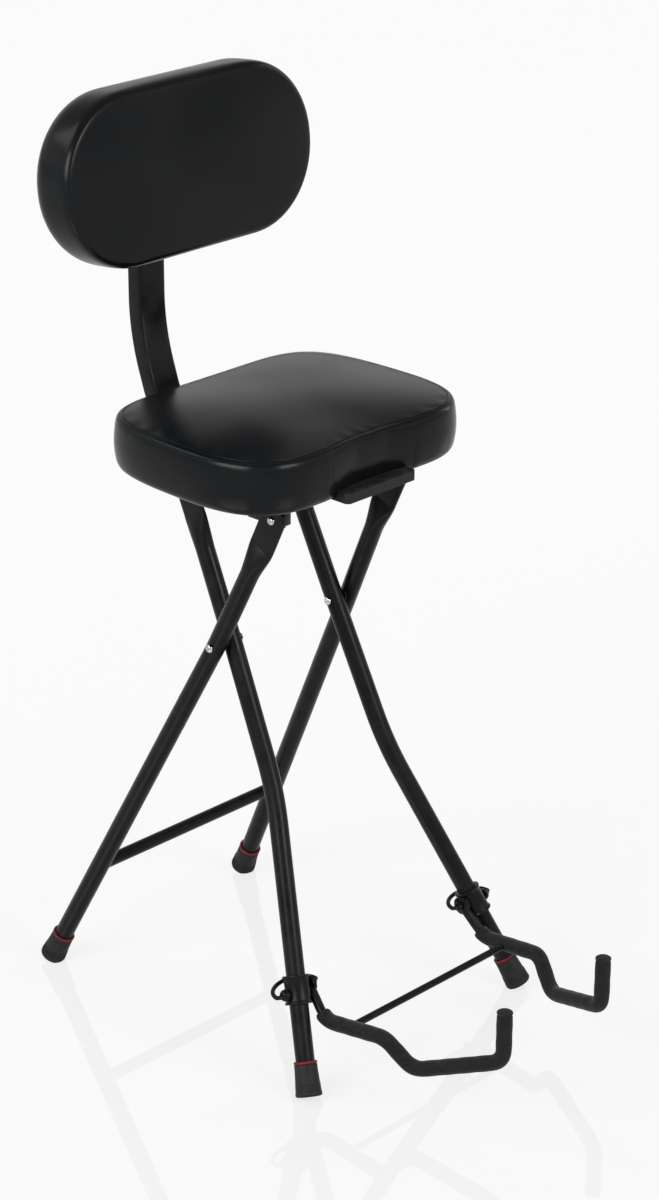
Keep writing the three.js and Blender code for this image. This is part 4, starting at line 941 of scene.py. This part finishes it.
def makeSeatCushion():
    s = seat
    base, seam, edge, bulge = s["baseZ"], s["seamZ"], s["edge"], s["bulge"]
    rings = [
        (s["seamInset"] * 0.78, seam - 0.5, 0.5), (s["seamInset"] * 0.5, seam - 1.6, 0.54),
        (s["seamInset"] * 0.26, seam - 3.4, 0.6), (s["seamInset"] * 0.08, seam - 6.4, 0.68), (-0.3, seam - 12, 0.78),
    ]
    rings += [(-s["sideBulge"] * math.sin(math.pi * (k + 1) / 6), lerp(seam - 18, base + 18, k / 4),
               lerp(0.86, 1, k / 4)) for k in range(5)]
    rings += [(bulge * 0.1, base + 12, 1), (bulge * 0.7, base + 7, 1), (bulge + 1.5, base + 3, 1),
              (bulge + 4, base + 0.8, 1), (edge + bulge, base, 1), (s["boardInset"], base, 1),
              (s["boardInset"], base + s["boardThickness"] * 0.4, 1)]

    def crownAt(share):
        return seam + s["crown"] * s["crownShare"] * (1 - share ** s["crownPower"])

    obj, seamLoop = puffedPad("seat_pad", s, seatEdge, rings, crownAt, lambda x, y, z: Vector((x, y, z)), 8, 2,
                              notchDip)
    vertices = obj.data.vertices
    seamPoints = [vertices[index].co.copy() for index in seamLoop]
    for vertex in vertices[:(s["cells"] + 1) ** 2]:  # small puckers run in from the seam
        nearest = min((vertex.co - p).length for p in seamPoints) * 1000
        angle = math.atan2(vertex.co.y - drawingShift.y, vertex.co.x)
        wave = math.sin(angle * s["puckers"]) * (0.6 + 0.4 * math.sin(angle * 7 + 1))
        near = smoothstep(nearest, s["puckerReach"], 2) * smoothstep(nearest, 0, 4)
        vertex.co.z += wave * s["puckerDepth"] * 0.001 * near
    for index in seamLoop:
        vertex = vertices[index]
        out = Vector((vertex.co.x, vertex.co.y - drawingShift.y, 0)).normalized()
        vertex.co -= (out * 0.5 + upwards * 0.5) * s["grooveDepth"] * 0.001
    seamLine = [vertices[index].co.copy() for index in seamLoop]
    return subdivided(obj), seamLine


seatPad, seatSeam = makeSeatCushion()
fit(seatPad, "seat", "vinyl", "seat_cushion")
print("seat padded")

thread = {"pitch": 0.0034, "length": 0.0024, "thickness": 0.00032}


def stitchAlong(name, line, lift):
    mesh = bpy.data.meshes.new(name)
    mesh.from_pydata([p + lift(p) for p in line], [(k, (k + 1) % len(line)) for k in range(len(line))], [])
    return grow(linked(name, mesh), "stitch", Pitch=thread["pitch"], Length=thread["length"],
                Thickness=thread["thickness"])


def seatLift(point):
    out = Vector((point.x, point.y - drawingShift.y, 0)).normalized()
    return -out * 0.0016 + upwards * 0.0011


def cornerSeam(name, x):
    depsgraph = bpy.context.evaluated_depsgraph_get()
    start, line, steps = place((x, seat["frontY"] - seat["notchReach"], 0)), [], seat["cornerSteps"]
    for k in range(steps):
        start.z = place((0, 0, lerp(seat["seamZ"] - 3, seat["baseZ"] + 2, k / (steps - 1)))).z
        hit, at = seatPad.evaluated_get(depsgraph).ray_cast(start, backwards)[:2]
        if hit:
            line.append((at - drawingShift) * 1000 + backwards * seat["cornerSeam"] * 0.35)
    return tubeOn(name, line, seat["cornerSeam"], 12)


fit(stitchAlong("seat_stitches", seatSeam, seatLift), "seat", "vinyl")
for side, x in (("left", seat["notchHalfWidth"]), ("right", -seat["notchHalfWidth"])):
    fit(cornerSeam("seat_corner_seam_" + side, x), "seat", "vinyl")
print("seam sewn")

# seat board
finishNodes("board", "seat_board", "backrest_board")

# back post
post = {"width": 38, "depth": 19, "corner": 3.4, "frontY": -34, "kneeY": 168, "elbowY": 202.5, "elbowZ": 692,
        "lean": 0.5, "topZ": 950, "kneeBend": 46, "elbowBend": 40, "crush": 2.6, "cornerSteps": 6}


def postRing(placeFrame, crush):
    at, tangent, side, up = placeFrame
    front = up if up.y < 0 or (abs(up.y) < 0.3 and up.z > 0) else -up
    w, d, r = post["width"] / 2, post["depth"] / 2, post["corner"]
    arcs = cornerArcs(w, d, r, post["cornerSteps"])
    face = [(x * (w - r), d) for x in (0.8, 0.6, 0.4, 0.2, 0, -0.2, -0.4, -0.6, -0.8)]
    ring = []
    for a, b in arcs[0] + face + arcs[1] + arcs[2] + arcs[3]:
        dent = crush * math.cos(min(abs(a) / w, 1) * math.pi / 2) ** 0.8 if b > d - 0.01 else 0
        ring.append(at + side * a + front * (b - dent))
    return ring


def makePost():
    centreZ = seat["baseZ"] - gap - post["depth"] / 2
    topY = post["elbowY"] + math.tan(math.radians(post["lean"])) * (post["topZ"] - post["elbowZ"])
    elbow = Vector((0, post["elbowY"], post["elbowZ"]))
    line = roundedLine([Vector((0, post["frontY"], centreZ)), Vector((0, post["kneeY"], centreZ)), elbow,
                        Vector((0, topY, post["topZ"]))], [post["kneeBend"], post["elbowBend"]], 24)
    rings = []
    for placeFrame in framesAlong(line, sideways):
        near = max(0, 1 - (placeFrame[0] - elbow).length / post["elbowBend"])
        rings.append(postRing(placeFrame, post["crush"] * smoothstep(near, 0, 1)))
    return shadeSmooth(meshObject("back_post_tube", *loft(rings)), 50)


fit(makePost(), "seat", "powder_coat", "backrest_post")
fit(smoothCopy("post_plug", "post_end_plug", 0.8), "seat", "nylon", "post_plug")
fit(smoothCopy("backrest_wedge", "back_wedge_block", 1.2), "seat", "powder_coat", "backrest_wedge")
print("post bent")

# back pad
backPad = {
    "lean": 6, "centreZ": 880.5, "halfWidth": 174, "halfHeight": 90.5, "corner": 89, "depth": 55, "wedge": 10.5,
    "crown": 5, "rearRound": 18, "boardInset": 13.7, "cells": 56, "pressure": 3.0, "cap": 3.0, "frames": 20,
    "seamInset": 6, "grooveDepth": 0.3, "crownShare": 0.6, "crownPower": 2.2, "cornerSteps": 40, "wedgeDrop": 30,
    "screwX": 33, "screwStand": 3.6,
}
postFaceY = post["elbowY"] + math.tan(math.radians(post["lean"])) * (
    backPad["centreZ"] - backPad["wedgeDrop"] - post["elbowZ"]) - post["depth"] / 2 - gap
boardBackY = postFaceY - backPad["wedge"] - gap
padTurn = (Matrix.Translation((0, boardBackY, backPad["centreZ"]))
           @ Matrix.Rotation(math.radians(-backPad["lean"]), 4, "X")
           @ Matrix.Translation((0, -boardBackY, -backPad["centreZ"])))
backArcs = cornerArcs(backPad["halfWidth"], backPad["halfHeight"], backPad["corner"], backPad["cornerSteps"])
backEdge = Outline(sum(backArcs, []), (0, 0))


def makeBackPad():
    s = backPad
    front = s["depth"]
    rings = [
        (s["seamInset"] * 0.74, front - 0.6, 0), (s["seamInset"] * 0.42, front - 1.8, 0),
        (s["seamInset"] * 0.18, front - 3.8, 0), (s["seamInset"] * 0.04, front - 7, 0), (0.1, front - 12, 0),
    ]
    rings += [(0.0, lerp(front - 16, s["rearRound"] + 3, k / 3), 0) for k in range(4)]
    rings += [(0.8, s["rearRound"] * 0.75, 0), (2.6, s["rearRound"] * 0.45, 0), (5.2, s["rearRound"] * 0.2, 0),
              (8.2, s["rearRound"] * 0.05, 0), (10.6, 0.0, 0), (s["boardInset"], 0.0, 0), (s["boardInset"], 3.5, 0)]

    def crownAt(share):
        return front + s["crown"] * s["crownShare"] * (1 - share ** s["crownPower"])

    def lay(x, y, out):
        return padTurn @ Vector((x, boardBackY - out, s["centreZ"] + y))

    obj, seamLoop = puffedPad("back_pad", s, backEdge, rings, crownAt, lay, 7)
    frontWay = (padTurn.to_3x3() @ Vector((0, -1, 0))).normalized()
    for index in seamLoop:
        obj.data.vertices[index].co -= frontWay * s["grooveDepth"] * 0.001
    return subdivided(obj)


backCushion = makeBackPad()
fit(backCushion, "seat", "vinyl", "backrest_cushion")

rearWay = (padTurn.to_3x3() @ Vector((0, 1, 0))).normalized()
screwMarks = []
for node in backScrewNodes:
    middle, size = boxMiddle(node)
    at = Vector((math.copysign(backPad["screwX"], middle.x), boardBackY + backPad["screwStand"], backPad["centreZ"]))
    screwMarks.append({"at": padTurn @ at, "along": rearWay})
fit(fastenersOn("back_pad_screws", screwHead, screwMarks), "seat", "bright_steel", *backScrewNodes)
bpy.data.objects.remove(screwHead)
print("back padded")

# neck rest
fit(smoothCopy("neck_rest", "neck_rest_block", 1.6, 4), "seat", "rubber", "neck_rest")

# cradle
cradle = {
    "z": 93, "eyeRadius": 10, "eyeThickness": 4.5, "rod": 5, "sleeve": 8.2, "sleeveStart": 33, "cap": 2.4,
    "crossRadius": 3.8, "crossY": -215, "bend": 26, "eyeGap": 0.9, "sleeveSides": 44, "sleevePitch": 2.5,
    "sleeveRound": (0.9, 1.6), "sleeveWave": (0.12, 0.31),
    "corners": [(124, -182, 63), (121, -262, 74), (109, -291, 43.5), (77, -383, 77.5), (77, -383, 133)],
}
collar = {"length": 30, "wall": 2.6, "bead": 1.2, "bore": 10.5}
pin = {"radius": 3, "headRadius": 6.4, "headHeight": 6.5, "endRadius": 4.8, "endHeight": 5}
bail = {"radius": 2.3, "depth": 19, "socket": 3, "stub": 5, "rise": 4}

cradleCentre = onLine(frontKnee, frontFloor, cradle["z"])
collarOuter = collar["bore"] + collar["wall"]
eyeOuterX = cradleCentre.x - collarOuter - collar["bead"] - cradle["eyeGap"]
eyeCentre = Vector((eyeOuterX - cradle["eyeThickness"] / 2, cradleCentre.y, cradleCentre.z))
armLine = roundedLine([eyeCentre] + [Vector(c) for c in cradle["corners"]],
                      [cradle["bend"] * share for share in (0.5, 0.4, 0.5, 0.55)], 12)
armTotal = lineLength(armLine)


def makeArm():
    start = cradle["eyeRadius"] * 0.4
    rod = tubeOn("cradle_rod_left", spanOf(armLine, start, armTotal, 4), cradle["rod"], 32)
    half, r = cradle["eyeThickness"] / 2, cradle["eyeRadius"]
    profile = [(0, -half), (r - 0.6, -half), (r - 0.15, -half + 0.2), (r, -half + 0.7),
               (r, half - 0.7), (r - 0.15, half - 0.2), (r - 0.6, half), (0, half)]
    return rod, lathe("cradle_eye_left", profile, eyeCentre, sideways, 48)


armRod, armEye = makeArm()
fitPair(armRod, "cradle", "powder_coat", "cradle_arm")
fitPair(armEye, "cradle", "powder_coat")


def makeSleeve():
    line = spanOf(armLine, cradle["sleeveStart"], armTotal - 1, cradle["sleevePitch"])
    total, sides = lineLength(line), cradle["sleeveSides"]
    frames = framesAlong(line, sideways)
    (roundDepth, roundReach), (waveDepth, waveTurns) = cradle["sleeveRound"], cradle["sleeveWave"]
    outer, run = [], 0
    for k, (at, tangent, side, up) in enumerate(frames):
        run += (at - line[k - 1]).length if k else 0
        fall = max(0, 1 - min(run, total - run) / roundReach) ** 2
        radius = cradle["sleeve"] - roundDepth * fall + waveDepth * math.sin(run * waveTurns)
        outer.append(circleRing(at, side, up, radius, sides))
    inner = [circleRing(at, side, up, cradle["rod"] + gap, sides) for at, tangent, side, up in reversed(frames)]
    return shadeSmooth(meshObject("cradle_grip_left", *loft(outer + inner, True)), 45)


fitPair(makeSleeve(), "cradle", "foam", "cradle_sleeve")
tipAt, r, cap = armLine[-1], cradle["sleeve"], cradle["cap"]
tipProfile = [(0, 0.1), (r * 0.98, 0.1), (r + 0.1, 0.5), (r, cap * 0.6), (r * 0.9, cap * 0.85), (r * 0.7, cap),
              (0, cap + 0.2)]
fitPair(lathe("cradle_tip_left", tipProfile, tipAt, upwards, 48), "cradle", "rubber", "cradle_cap")
low = next(k for k, p in enumerate(armLine) if p.y < cradle["crossY"])
crossShare = (cradle["crossY"] - armLine[low - 1].y) / (armLine[low].y - armLine[low - 1].y)
crossEnd = armLine[low - 1].lerp(armLine[low], crossShare)
fit(tubeOn("cradle_cross_bar", [mirrorOf(crossEnd), crossEnd], cradle["crossRadius"], 32), "cradle",
    "powder_coat", "cradle_cross_rod")

legDown = (frontFloor - frontKnee).normalized()
collarStart = cradleCentre - legDown * collar["length"] / 2


def makeCollar():
    bore, outer, bead, length = collar["bore"], collarOuter, collar["bead"], collar["length"]
    half = [(bore, 0), (outer + bead * 0.5, 0.05), (outer + bead * 0.9, 0.35), (outer + bead, 1.0), (outer + bead, 1.9),
            (outer + bead * 0.6, 2.6), (outer + bead * 0.15, 3.2), (outer, 4.0)]
    profile = half + [(rr, length - h) for rr, h in reversed(half)] + [(bore, 0)]
    return lathe("cradle_collar_ring_left", profile, collarStart, legDown, 56)


fitPair(makeCollar(), "front_legs", "powder_coat", "cradle_collar")
legSplay = splayOf(front["footX"], 0, front["kneeX"], front["kneeZ"])
pinOuterX = cradleCentre.x + collarOuter * math.hypot(1, legSplay) + pin["headRadius"] * legSplay + gap
pinInnerX = eyeOuterX - cradle["eyeThickness"] - gap
pinEnd, pinTop = pinInnerX - pin["endHeight"], pinOuterX + pin["headHeight"]
end, head = pin["endRadius"], pin["headRadius"]
pinProfile = [
    (0, pinEnd + 0.2), (3.2, pinEnd), (4.4, pinEnd + 0.4), (end, pinEnd + 1.2), (end, pinInnerX - 0.3),
    (end - 0.3, pinInnerX), (pin["radius"], pinInnerX), (pin["radius"], pinOuterX), (head, pinOuterX),
    (head, pinOuterX + 2.4), (head * 0.95, pinOuterX + 3.4), (head * 0.82, pinOuterX + 4.8),
    (head * 0.66, pinOuterX + 5.8), (head * 0.5, pinTop - 0.1), (0, pinTop),
]
fitPair(lathe("cradle_knob_left", pinProfile, Vector((0, cradleCentre.y, cradleCentre.z)), sideways, 48),
        "front_legs", "powder_coat", "cradle_pin")


def makeBail():
    socket, stub = bail["socket"], bail["stub"]
    low, high = pinEnd + socket - gap, pinTop - socket + gap
    rise = math.radians(bail["rise"])
    back = Vector((0, math.cos(rise), math.sin(rise)))

    def at(x, out):
        return Vector((x, cradleCentre.y, cradleCentre.z)) + back * out

    xLow, xHigh = low - socket - stub, high + socket + stub
    points = [at(low, 0), at(low - socket * 0.6, 0), at(low - socket - 1, 0)]
    for k in range(37):
        t = math.pi * k / 36
        x = (xLow + xHigh) / 2 - math.cos(t) * (xHigh - xLow) / 2
        points.append(at(x, stub * 0.5 + math.sin(t) * bail["depth"]))
    points += [at(high + socket + 1, 0), at(high + socket * 0.6, 0), at(high, 0)]
    return tubeOn("pin_ring_left", points, bail["radius"], 24)


fitPair(makeBail(), ("bail_left", "bail_right"), "powder_coat", "pin_bail")
print("cradle built")

# nodes that stay
finishNodes("nylon", "scissor_washer_left", "scissor_washer_right")
